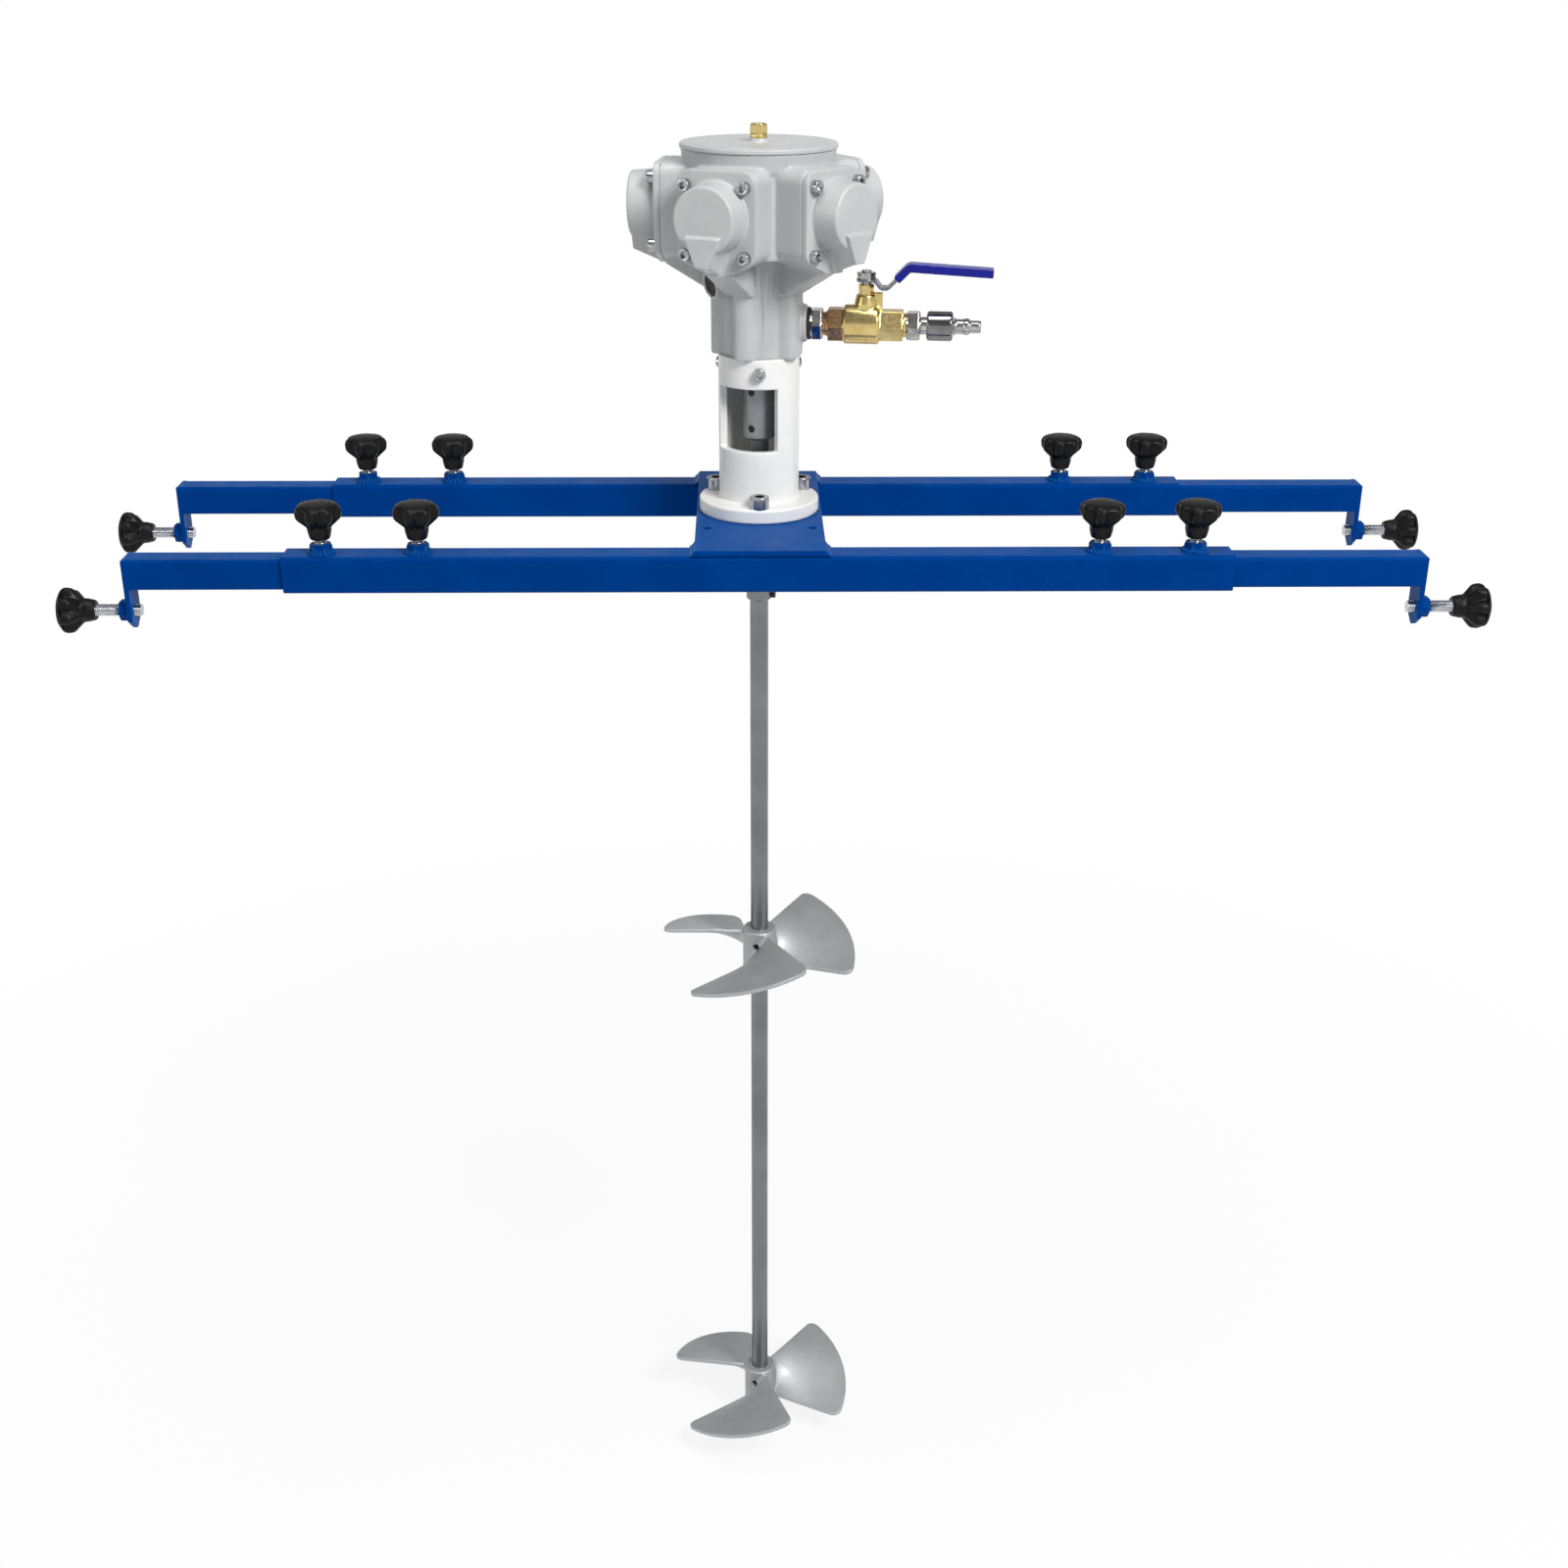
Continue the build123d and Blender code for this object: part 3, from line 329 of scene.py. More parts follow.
# Investment-cast stainless, glass-bead blasted: pale, soft grey, no sharp glints.
BLASTED = Finish("blasted_cast_steel", "#B4B5B7", "#A8AAAC", 28, metallic=0.6,
                 roughness=0.5, grain_mm=0.9, depth_mm=0.03, wear_and_highlight="#D4D5D6")
# Ground bearing steel, seen only from inside the motor.
GROUND = Finish("ground_steel", "#A9ABAE", "#9C9EA2", 20, metallic=1.0, roughness=0.25,
                grain_mm=0.8, depth_mm=0.006, lay=Lay.ROUND_Z)
# Machined piston alloy: pale and even.
PISTON = Finish("machined_alloy", "#C2C4C6", "#B5B7B9", 15, metallic=1.0, roughness=0.32,
                grain_mm=0.8, depth_mm=0.01)
# Hot-forged brass, tumbled: warm gold with a faintly pebbled skin.
BRASS = Finish("forged_brass", "#DFCB8E", "#CCB270", 16, metallic=1.0, roughness=0.24,
               swing=0.05, grain_mm=1.6, depth_mm=0.02, wear_and_highlight="#EBD690")
# Bronze neck of the union, browner than brass; the same colour is painted shade on the valve
# forging's end hexagon.
BRONZE_AND_SHADE = Finish("machined_bronze", "#C6A079", "#A8835C", 7, metallic=1.0, roughness=0.28,
                grain_mm=0.9, depth_mm=0.01, lay=Lay.ROUND_X)
# Nickel plate on the air fittings: almost a mirror.
NICKEL = Finish("nickel_plate", "#C4C2BE", "#9E9C99", 6, metallic=1.0, roughness=0.14,
                grain_mm=1.0, depth_mm=0.006, lay=Lay.ROUND_X)
# Case-hardened coupling sleeve of the plug: dark plate with a bright middle.
DARK_PLATE = Finish("dark_nickel_plate", "#8E8E90", "#747476", 9, metallic=1.0,
                    roughness=0.12, grain_mm=0.8, depth_mm=0.006, lay=Lay.ROUND_X)
# Blackened set screws: dull dark points in their holes.
BLACK_OXIDE = Finish("black_oxide", "#1B1B1D", "#101011", 4, metallic=0.4, roughness=0.5,
                     grain_mm=0.6, depth_mm=0.01)
# Ground coupling sleeve: a lighter, softer grey than the shaft.
COUPLING = Finish("satin_coupling_steel", "#94969A", "#85878A", 14, metallic=0.55,
                  roughness=0.42, grain_mm=0.9, depth_mm=0.012, lay=Lay.ROUND_Z,
                  wear_and_highlight="#E2E3E4")
# Nitrile seal: soft black.
NITRILE = Finish("nitrile_rubber", "#141414", "#1E1E1E", 6, roughness=0.6,
                 grain_mm=0.8, depth_mm=0.02)
# Plated spring strip of the lever: grey with bright edges.
STRIP = Finish("plated_strip", "#8C8D92", "#6D6E74", 10, metallic=1.0, roughness=0.3,
               grain_mm=0.8, depth_mm=0.012, lay=Lay.ALONG_X, wear_and_highlight="#B9BABE")
# Dipped vinyl grip: saturated royal blue, glossy, slightly wavy from draining.
VINYL = Finish("dipped_vinyl", "#0C128C", "#080C70", 18, roughness=0.3, specular=0.25,
               grain_mm=4.0, depth_mm=0.12, coat=0.05)
# Sintered wire pad of the silencer: dark, rough, full of gaps.
MESH_PAD = WovenFinish("woven_wire", "#4A4844", "#1C1B1A", 1.4, metallic=1.0,
                       roughness=0.5, depth_mm=0.4)


def outward(bearing: float, radius: float, height: float) -> Matrix:
    """Gives the place, in millimetres, of something that looks away from the shaft.

    Args:
        bearing: Direction in degrees; 0 faces the viewer.
        radius: Distance of the place from the shaft's axis.
        height: Height of the place.

    Returns:
        Matrix whose Z points outward, X runs round the axis and Y points up.
    """
    turn = math.radians(bearing)
    out = Vector((math.sin(turn), -math.cos(turn), 0))
    side = Vector((math.cos(turn), math.sin(turn), 0))
    place = Matrix((side, (0, 0, 1), out)).transposed().to_4x4()
    place.translation = out * radius + Vector((0, 0, height))
    return place


def upward(x: float, y: float, z: float) -> Matrix:
    """Gives the place of something that stands upright, in millimetres."""
    return Matrix.Translation((x, y, z))


def sideward(side: float, x: float, y: float, z: float) -> Matrix:
    """Gives the place, in millimetres, of something that looks along X.

    Args:
        side: 1 to look towards +X, -1 towards -X.
        x: Place on X.
        y: Place on Y.
        z: Height.

    Returns:
        Matrix whose Z points along X.
    """
    turn = Matrix.Rotation(math.radians(90 * side), 4, "Y")
    return Matrix.Translation((x, y, z)) @ turn


@dataclass(frozen=True)
class Ring:
    """One ring of a turned form's outline, in millimetres.

    Args:
        radius: Distance from the axis; the corner radius where the ring is a hexagon.
        height: Place along the axis.
        fillet: Radius that rounds the outline here.
        hexed: 1 for a hexagon, 0 for a circle.
        lobed: Share of the radius that the hollows between lobes lose.
    """

    radius: float
    height: float
    fillet: float = 0.0
    hexed: float = 0.0
    lobed: float = 0.0


def outline(rings: Sequence[Ring], steps: int = 4) -> list[Ring]:
    """Rounds the corners of an outline.

    Args:
        rings: Corners from the top of the piece to its foot.
        steps: Points on each rounded corner.

    Returns:
        Rings with every filleted corner replaced by an arc's points.
    """
    result = []
    for index, ring in enumerate(rings):
        if not ring.fillet or index in (0, len(rings) - 1):
            result.append(ring)
            continue
        corner = Vector((ring.radius, ring.height))
        before = Vector((rings[index - 1].radius, rings[index - 1].height)) - corner
        after = Vector((rings[index + 1].radius, rings[index + 1].height)) - corner
        reach = min(ring.fillet, before.length * CORNER_SHARE, after.length * CORNER_SHARE)
        start = corner + before.normalized() * reach
        end = corner + after.normalized() * reach
        for step in range(steps + 1):
            part = step / steps
            spot = (start * (1 - part) ** 2 + corner * 2 * part * (1 - part)
                    + end * part ** 2)
            result.append(replace(ring, radius=spot.x, height=spot.y))
    return result


def new_object(name: str, data: bpy.types.ID) -> bpy.types.Object:
    """Puts an object at the origin of the scene.

    Args:
        name: Object's name.
        data: Its mesh, lamp or camera.

    Returns:
        The object.
    """
    made = bpy.data.objects.new(name, data)
    bpy.context.scene.collection.objects.link(made)
    return made


def baked(host: bpy.types.Object) -> bpy.types.Object:
    """Turns an object's modifiers into a plain mesh, shaded smooth between its sharp edges.

    Args:
        host: Object whose modifiers are taken up by its mesh.

    Returns:
        The same object with a new mesh and no modifiers.
    """
    graph = bpy.context.evaluated_depsgraph_get()
    mesh = bpy.data.meshes.new_from_object(host.evaluated_get(graph), depsgraph=graph)
    old = host.data
    host.modifiers.clear()
    host.data = mesh
    mesh.name = host.name
    bpy.data.meshes.remove(old)
    shape = bmesh.new()
    shape.from_mesh(mesh)
    bmesh.ops.remove_doubles(shape, verts=shape.verts, dist=PIECE_GAP)
    bmesh.ops.recalc_face_normals(shape, faces=shape.faces)
    shape.to_mesh(mesh)
    shape.free()
    mesh.shade_smooth()
    mesh.set_sharp_from_angle(angle=SMOOTH_ANGLE)
    return host


def grown(name: str, base: bpy.types.Mesh, rule: bpy.types.NodeTree,
          **sizes: object) -> bpy.types.Object:
    """Grows a piece by a Geometry Nodes rule and keeps the result as a plain mesh.

    Args:
        name: Piece's name.
        base: Mesh that the rule reads.
        rule: Tree of the rule.
        **sizes: Values of the rule's inputs, by their names in small letters.

    Returns:
        The finished object, without its modifier.
    """
    host = new_object(name, base)
    modifier = host.modifiers.new("rule", "NODES")
    modifier.node_group = rule
    for socket in rule.interface.items_tree:
        key = socket.name.lower()
        if socket.item_type == "SOCKET" and socket.in_out == "INPUT" and key in sizes:
            modifier[socket.identifier] = sizes[key]
    return baked(host)


def rule_tree(name: str, inputs: dict[str, str]) -> tuple[bpy.types.NodeTree, bpy.types.Node]:
    """Starts a Geometry Nodes tree.

    Args:
        name: Tree's name.
        inputs: Socket type for each named input after the geometry.

    Returns:
        The tree and its input node.
    """
    tree = bpy.data.node_groups.new(name, "GeometryNodeTree")
    tree.interface.new_socket("Geometry", in_out="INPUT", socket_type="NodeSocketGeometry")
    for title, kind in inputs.items():
        tree.interface.new_socket(title, in_out="INPUT", socket_type=f"NodeSocket{kind}")
    tree.interface.new_socket("Geometry", in_out="OUTPUT", socket_type="NodeSocketGeometry")
    return tree, add(tree, "NodeGroupInput")


def close_rule(tree: bpy.types.NodeTree, geometry: bpy.types.Node,
               start: bpy.types.Node) -> bpy.types.NodeTree:
    """Ends a tree in Realize Instances and Set Material.

    Args:
        tree: Tree of the rule.
        geometry: Node of the finished shape.
        start: The tree's input node.

    Returns:
        The same tree.
    """
    real = add(tree, "GeometryNodeRealizeInstances", {"Geometry": geometry})
    dressed = add(tree, "GeometryNodeSetMaterial", {
        "Geometry": real, "Material": start.outputs["Material"]})
    add(tree, "NodeGroupOutput", {"Geometry": dressed})
    return tree


def ring_grid(tree: bpy.types.NodeTree, rows: bpy.types.NodeSocket,
              segments: bpy.types.NodeSocket) -> tuple[bpy.types.Node, dict]:
    """Makes a flat grid that a rule wraps round the Z axis, ring after ring.

    Args:
        tree: Tree of the rule.
        rows: Number of rings along the axis.
        segments: Number of faces round it.

    Returns:
        The grid, and a point's "row" with its "turn" round the axis, from 0 to 1.
    """
    columns = add(tree, "ShaderNodeMath", {0: segments, 1: 1.0})
    grid = add(tree, "GeometryNodeMeshGrid", {"Vertices X": columns, "Vertices Y": rows})
    index = add(tree, "GeometryNodeInputIndex")
    share = add(tree, "ShaderNodeMath", {0: index, 1: rows}, operation="DIVIDE")
    column = add(tree, "ShaderNodeMath", {0: share}, operation="FLOOR")
    turn = add(tree, "ShaderNodeMath", {0: column, 1: segments}, operation="DIVIDE")
    row = add(tree, "ShaderNodeMath", {0: index, 1: rows}, operation="MODULO")
    return grid, {"row": row, "turn": turn}


def bent(tree: bpy.types.NodeTree, shape: bpy.types.Node, known: dict,
         sums: Iterable[tuple]) -> bpy.types.Node:
    """Moves a shape's points to where a table of sums puts them.

    Args:
        tree: Tree of the rule.
        shape: Node of the grid or block.
        known: What the sums may name; each sum's result joins it under its own name.
        sums: For each sum its name, its operation and its terms. They have to give
            "along_x" and "along_y", and "along_z" where that isn't known yet.

    Returns:
        Node of the moved shape.
    """
    for name, operation, *terms in sums:
        known[name] = add(tree, "ShaderNodeMath", {
            number: known.get(term, term) for number, term in enumerate(terms)},
            operation=operation)
    target = add(tree, "ShaderNodeCombineXYZ", {
        number: known[name] for number, name in enumerate(("along_x", "along_y", "along_z"))})
    return add(tree, "GeometryNodeSetPosition", {"Geometry": shape, "Position": target})


# Sums that wrap a point round the Z axis, from its turn and its radius.
ROUND_AXIS = (
    ("angle", "MULTIPLY", "turn", math.tau),
    ("cosine", "COSINE", "angle"), ("along_x", "MULTIPLY", "cosine", "radius"),
    ("sine", "SINE", "angle"), ("along_y", "MULTIPLY", "sine", "radius"),
)


def turned_rule() -> bpy.types.NodeTree:
    """Builds the rule of turned, hexagonal and lobed forms.

    Its geometry is a line of points, each a ring's radius and height with the shares
    "hexed" and "lobed". A grid takes ring after ring round the axis.

    Returns:
        The tree.
    """
    tree, start = rule_tree("turned_form", {
        "Segments": "Int", "Lobes": "Float", "Material": "Material"})
    rings = add(tree, "GeometryNodeAttributeDomainSize", {"Geometry": start})
    grid, known = ring_grid(tree, rings.outputs["Point Count"], start.outputs["Segments"])
    for name, kind in (("position", "FLOAT_VECTOR"), ("hexed", "FLOAT"), ("lobed", "FLOAT")):
        ring = add(tree, "GeometryNodeInputNamedAttribute", {"Name": name}, data_type=kind)
        known[name] = add(tree, "GeometryNodeSampleIndex", {
            "Geometry": start, "Value": ring, "Index": known["row"]}, data_type=kind)
    spot = add(tree, "ShaderNodeSeparateXYZ", {"Vector": known["position"]})
    known |= {"lobes": start.outputs["Lobes"], "across": spot.outputs["X"],
              "along_z": spot.outputs["Z"]}
    moved = bent(tree, grid, known, (
        ("angle", "MULTIPLY", "turn", math.tau),
        # A hexagon's radius from its corner radius: cos 30 over cos of the angle from a flat.
        ("flat", "MODULO", "angle", math.tau / 6), ("flat", "SUBTRACT", "flat", math.tau / 12),
        ("flat", "COSINE", "flat"), ("flat", "DIVIDE", math.cos(math.tau / 12), "flat"),
        ("flat", "SUBTRACT", "flat", 1.0), ("flat", "MULTIPLY_ADD", "hexed", "flat", 1.0),
        # Round lobes with narrower hollows between them.
        ("wave", "MULTIPLY", "angle", "lobes"), ("wave", "COSINE", "wave"),
        ("wave", "MULTIPLY_ADD", "wave", -0.5, 0.5), ("wave", "POWER", "wave", HOLLOW_POWER),
        ("wave", "MULTIPLY", "wave", "lobed"), ("wave", "SUBTRACT", 1.0, "wave"),
        ("factor", "MULTIPLY", "flat", "wave"), ("radius", "MULTIPLY", "across", "factor"),
        *ROUND_AXIS,
    ))
    merged = add(tree, "GeometryNodeMergeByDistance", {
        "Geometry": moved, "Distance": SEAM_GAP})
    return close_rule(tree, merged, start)


def seats_rule() -> bpy.types.NodeTree:
    """Builds the rule that sets a copy of a pattern on every seat.

    Its geometry is a cloud of points with the direction "aim" and the angle "spin".

    Returns:
        The tree.
    """
    tree, start = rule_tree("set_on_seats", {"Pattern": "Object", "Material": "Material"})
    pattern = add(tree, "GeometryNodeObjectInfo", {"Object": start.outputs["Pattern"]})
    aim = add(tree, "GeometryNodeInputNamedAttribute", {"Name": "aim"},
              data_type="FLOAT_VECTOR")
    spin = add(tree, "GeometryNodeInputNamedAttribute", {"Name": "spin"})
    about = add(tree, "FunctionNodeAxisAngleToRotation", {
        "Axis": (0.0, 0.0, 1.0), "Angle": spin})
    faced = add(tree, "FunctionNodeAlignRotationToVector", {"Vector": aim}, axis="Z")
    turned = add(tree, "FunctionNodeRotateRotation", {
        "Rotation": faced, "Rotate By": about}, rotation_space="LOCAL")
    copies = add(tree, "GeometryNodeInstanceOnPoints", {
        "Points": start, "Instance": pattern.outputs["Geometry"], "Rotation": turned})
    return close_rule(tree, copies, start)


def thread_rule() -> bpy.types.NodeTree:
    """Builds the rule of a threaded rod along +Z from the origin, closed at both ends.

    Returns:
        The tree.
    """
    tree, start = rule_tree("threaded_rod", {
        "Radius": "Float", "Pitch": "Float", "Depth": "Float", "Length": "Float",
        "Rings": "Int", "Segments": "Int", "Material": "Material"})
    rings = start.outputs["Rings"]
    grid, known = ring_grid(tree, rings, start.outputs["Segments"])
    known |= {socket.name.lower(): socket for socket in start.outputs}
    # The first and the last ring close the ends, so the length runs between their neighbours.
    inner = add(tree, "ShaderNodeMath", {0: rings, 1: 2.0}, operation="SUBTRACT")
    known["along_z"] = add(tree, "ShaderNodeMapRange", {
        "Value": known["row"], "From Min": 1.0, "From Max": inner,
        "To Max": start.outputs["Length"]})
    moved = bent(tree, grid, known, (
        ("phase", "DIVIDE", "along_z", "pitch"), ("phase", "SUBTRACT", "phase", "turn"),
        ("crest", "PINGPONG", "phase", 0.5), ("crest", "MULTIPLY", "crest", 2.0),
        ("cut", "MULTIPLY", "crest", "depth"), ("radius", "SUBTRACT", "radius", "cut"),
        ("inside", "GREATER_THAN", "row", 0.5), ("radius", "MULTIPLY", "radius", "inside"),
        ("last", "SUBTRACT", "rings", 1.5), ("inside", "LESS_THAN", "row", "last"),
        ("radius", "MULTIPLY", "radius", "inside"), *ROUND_AXIS,
    ))
    merged = add(tree, "GeometryNodeMergeByDistance", {
        "Geometry": moved, "Distance": SEAM_GAP})
    return close_rule(tree, merged, start)


def blade_rule() -> bpy.types.NodeTree:
    """Builds the rule of helical impeller blades round the Z axis.

    A block of points is bent: across it runs the radius, along it the sweep, and through
    it the thickness, which swells into a hollow fillet at the root.

    Returns:
        The tree.
    """
    tree, start = rule_tree("helical_blades", {
        "Root": "Float", "Tip": "Float", "Sweep": "Float", "Rise": "Float",
        "Thickness": "Float", "Corner": "Float", "Fillet": "Float", "Blades": "Int",
        "Material": "Material"})
    block = add(tree, "GeometryNodeMeshCube", BLADE_POINTS)
    spot = add(tree, "ShaderNodeSeparateXYZ", {
        "Vector": add(tree, "GeometryNodeInputPosition")})
    known = {socket.name.lower(): socket for socket in [*start.outputs, *spot.outputs]}
    blade = bent(tree, block, known, (
        # Points crowd towards the tip, where the corners are round.
        ("inner", "SUBTRACT", 0.5, "x"), ("crowded", "POWER", "inner", CROWDING),
        ("outer", "SUBTRACT", 1.0, "crowded"), ("span", "SUBTRACT", "tip", "root"),
        ("radius", "MULTIPLY_ADD", "outer", "span", "root"),
        # Near the tip the outline draws in along a circle, which rounds the corner.
        ("short", "SUBTRACT", "tip", "corner"), ("inset", "SUBTRACT", "radius", "short"),
        ("inset", "MAXIMUM", 0.0, "inset"), ("inset", "MULTIPLY", "inset", "inset"),
        ("square", "MULTIPLY", "corner", "corner"), ("chord", "SUBTRACT", "square", "inset"),
        ("chord", "MAXIMUM", 0.0, "chord"), ("chord", "SQRT", "chord"),
        ("arc", "SUBTRACT", "corner", "chord"), ("arc", "DIVIDE", "arc", "radius"),
        ("half", "MULTIPLY", "sweep", 0.5), ("half", "SUBTRACT", "half", "arc"),
        ("angle", "MULTIPLY", "y", 2.0), ("angle", "MULTIPLY", "angle", "half"),
        # The thickness swells into a hollow fillet at the root.
        ("near", "SUBTRACT", "radius", "root"), ("near", "DIVIDE", "near", "fillet"),
        ("near", "MINIMUM", 1.0, "near"), ("near", "SUBTRACT", 1.0, "near"),
        ("hollow", "MULTIPLY", "near", "near"), ("hollow", "SUBTRACT", 1.0, "hollow"),
        ("hollow", "MAXIMUM", 0.0, "hollow"), ("hollow", "SQRT", "hollow"),
        ("swell", "SUBTRACT", 1.0, "hollow"), ("swell", "MULTIPLY", "swell", "fillet"),
        ("thick", "MULTIPLY_ADD", "thickness", 0.5, "swell"),
        ("offset", "MULTIPLY", "z", 2.0), ("offset", "MULTIPLY", "offset", "thick"),
        # The offset runs square to the helix, whose slope is the rise per radian.
        ("slope", "DIVIDE", "rise", "sweep"), ("steep", "MULTIPLY", "slope", "slope"),
        ("steep", "MULTIPLY_ADD", "radius", "radius", "steep"), ("steep", "SQRT", "steep"),
        ("offset", "DIVIDE", "offset", "steep"), ("back", "MULTIPLY", "offset", "slope"),
        ("lift", "MULTIPLY", "offset", "radius"),
        ("cosine", "COSINE", "angle"), ("sine", "SINE", "angle"),
        ("along_x", "MULTIPLY", "radius", "cosine"),
        ("along_x", "MULTIPLY_ADD", "back", "sine", "along_x"),
        ("along_y", "MULTIPLY", "radius", "sine"), ("aside", "MULTIPLY", "back", "cosine"),
        ("along_y", "SUBTRACT", "along_y", "aside"),
        ("along_z", "MULTIPLY_ADD", "slope", "angle", "lift"),
    ))
    places = add(tree, "GeometryNodeMeshLine", {
        "Count": start.outputs["Blades"], "Offset": (0.0, 0.0, 0.0)})
    turn = add(tree, "ShaderNodeMath", {
        0: add(tree, "GeometryNodeInputIndex"), 1: start.outputs["Blades"]},
        operation="DIVIDE")
    turn = add(tree, "ShaderNodeMath", {0: turn, 1: math.tau}, operation="MULTIPLY")
    about = add(tree, "FunctionNodeAxisAngleToRotation", {
        "Axis": (0.0, 0.0, 1.0), "Angle": turn})
    copies = add(tree, "GeometryNodeInstanceOnPoints", {
        "Points": places, "Instance": blade, "Rotation": about})
    return close_rule(tree, copies, start)


def bead_rule() -> bpy.types.NodeTree:
    """Builds the rule of a weld bead along a path, rippled by the weld pool's steps.

    Returns:
        The tree.
    """
    tree, start = rule_tree("weld_bead", {
        "Radius": "Float", "Step": "Float", "Ripple": "Float", "Seed": "Int",
        "Material": "Material"})
    quarter = add(tree, "ShaderNodeMath", {0: start.outputs["Step"], 1: 0.25},
                  operation="MULTIPLY")
    spaced = add(tree, "GeometryNodeResampleCurve", {
        "Curve": add(tree, "GeometryNodeMeshToCurve", {"Mesh": start}), "Length": quarter},
        mode="LENGTH")
    run = add(tree, "GeometryNodeSplineParameter")
    # The range of a random number sits on the third and fourth inputs of its node.
    uneven = add(tree, "FunctionNodeRandomValue", {
        2: -BEAD_STRAY, 3: BEAD_STRAY, "Seed": start.outputs["Seed"]}, data_type="FLOAT")
    size = run.outputs["Length"]
    for operation, *terms in (
        ("DIVIDE", start.outputs["Step"]), ("PINGPONG", 0.5),
        ("MULTIPLY_ADD", start.outputs["Ripple"], 1.0), ("ADD", uneven.outputs[1]),
        ("MULTIPLY", start.outputs["Radius"]),
    ):
        size = add(tree, "ShaderNodeMath", dict(enumerate((size, *terms))),
                   operation=operation)
    section = add(tree, "GeometryNodeCurvePrimitiveCircle", {
        "Resolution": BEAD_SIDES, "Radius": 1.0})
    bead = add(tree, "GeometryNodeCurveToMesh", {
        "Curve": spaced, "Profile Curve": section, "Scale": size, "Fill Caps": True})
    return close_rule(tree, bead, start)


def rule_points(name: str, points: Sequence[Sequence[float]] = ((0, 0, 0),),
                edges: Sequence[tuple[int, int]] = (),
                **marks: Sequence[float | Vector]) -> bpy.types.Mesh:
    """Makes the mesh of points that a rule starts from.

    Args:
        name: Mesh's name.
        points: Places, in millimetres.
        edges: Pairs of points that are joined.
        **marks: Attributes, with a number or a direction for each point.

    Returns:
        The mesh.
    """
    mesh = bpy.data.meshes.new(name)
    mesh.from_pydata([[value * MM for value in point] for point in points], edges, [])
    for title, values in marks.items():
        if isinstance(values[0], Vector):
            layer = mesh.attributes.new(title, "FLOAT_VECTOR", "POINT")
            layer.data.foreach_set("vector", [part for value in values for part in value])
        else:
            layer = mesh.attributes.new(title, "FLOAT", "POINT")
            layer.data.foreach_set("value", values)
    return mesh


@dataclass
class Workshop:
    """Rules and helpers that every sub-assembly shares."""

    turned: bpy.types.NodeTree = field(default_factory=turned_rule)
    seats: bpy.types.NodeTree = field(default_factory=seats_rule)
    threads: bpy.types.NodeTree = field(default_factory=thread_rule)
    blades: bpy.types.NodeTree = field(default_factory=blade_rule)
    beads: bpy.types.NodeTree = field(default_factory=bead_rule)
    screw_spin: float = 0.7

    def lathe(self, name: str, rings: Sequence[Ring], finish: Finish,
              place: Matrix = Matrix(), segments: int = 48,
              lobes: float = 0.0) -> bpy.types.Object:
        """Turns an outline into a closed form and sets it in its place.

        Args:
            name: Piece's name.
            rings: Outline from the top to the foot, in millimetres.
            finish: Finish of the piece.
            place: Its place, in millimetres.
            segments: Faces round the axis, a multiple of 6 where a ring is a hexagon.
            lobes: Number of lobes.

        Returns:
            The piece.
        """
        rows = outline(rings)
        base = rule_points(f"{name}_outline", [(row.radius, 0, row.height) for row in rows],
                           hexed=[row.hexed for row in rows],
                           lobed=[row.lobed for row in rows])
        return put(grown(name, base, self.turned, segments=segments, lobes=lobes,
                         material=finish.material()), place)

    def screws(self, name: str, seats: Sequence[Matrix], rings: Sequence[Ring],
               finish: Finish, segments: int = 36) -> bpy.types.Object:
        """Sets a screw or nut on every seat, each turned to its own angle.

        Args:
            name: Piece's name.
            seats: Places whose Z points out of the seat, in millimetres.
            rings: Outline of one screw about its own axis.
            finish: Finish of the screws.
            segments: Faces round each screw.

        Returns:
            One piece with all the screws.
        """
        pattern = self.lathe(f"{name}_pattern", rings, finish, segments=segments)
        base = rule_points(f"{name}_seats", [seat.translation for seat in seats],
                           aim=[seat.to_3x3() @ Vector((0, 0, 1)) for seat in seats],
                           spin=[self.screw_spin * number for number in range(len(seats))])
        piece = grown(name, base, self.seats, pattern=pattern, material=finish.material())
        bpy.data.objects.remove(pattern)
        return piece


@dataclass(frozen=True)
class CapScrew:
    """Sizes of a cap screw with a hexagon socket, in millimetres.

    Args:
        radius: Head's radius.
        height: Head's height.
        shank: Shank's radius.
        length: Shank's length.
        socket: Corner radius of the socket.
    """

    radius: float
    height: float
    shank: float
    length: float
    socket: float

    def rings(self) -> list[Ring]:
        """Gives its outline, head up and its seat at the origin."""
        floor, top = self.height * 0.45, self.height
        return [Ring(0, floor), Ring(self.socket, floor, hexed=1),
                Ring(self.socket, top - 0.3, hexed=1), Ring(self.socket + 0.35, top),
                Ring(self.radius - 0.2, top, 0.9), Ring(self.radius, top - 1.2, 0.5),
                Ring(self.radius, 0), Ring(self.shank, 0), Ring(self.shank, -self.length),
                Ring(0, -self.length)]


@dataclass(frozen=True)
class Skin:
    """How far a hard-edged form takes the round edges of a casting or dipped part.

    Args:
        voxel: Size of the new mesh's faces, in millimetres; edges round by about as much.
        passes: Rounds of smoothing.
        keep: Share of the faces that is kept, the flat ones going first.
    """

    voxel: float
    passes: int
    keep: float


def put(piece: bpy.types.Object, place: Matrix) -> bpy.types.Object:
    """Moves a piece's mesh, while its object stays at the origin.

    Args:
        piece: The piece.
        place: Its place, in millimetres.

    Returns:
        The same piece.
    """
    where = place.copy()
    where.translation = place.translation * MM
    piece.data.transform(where)
    piece.data.update()
    return piece


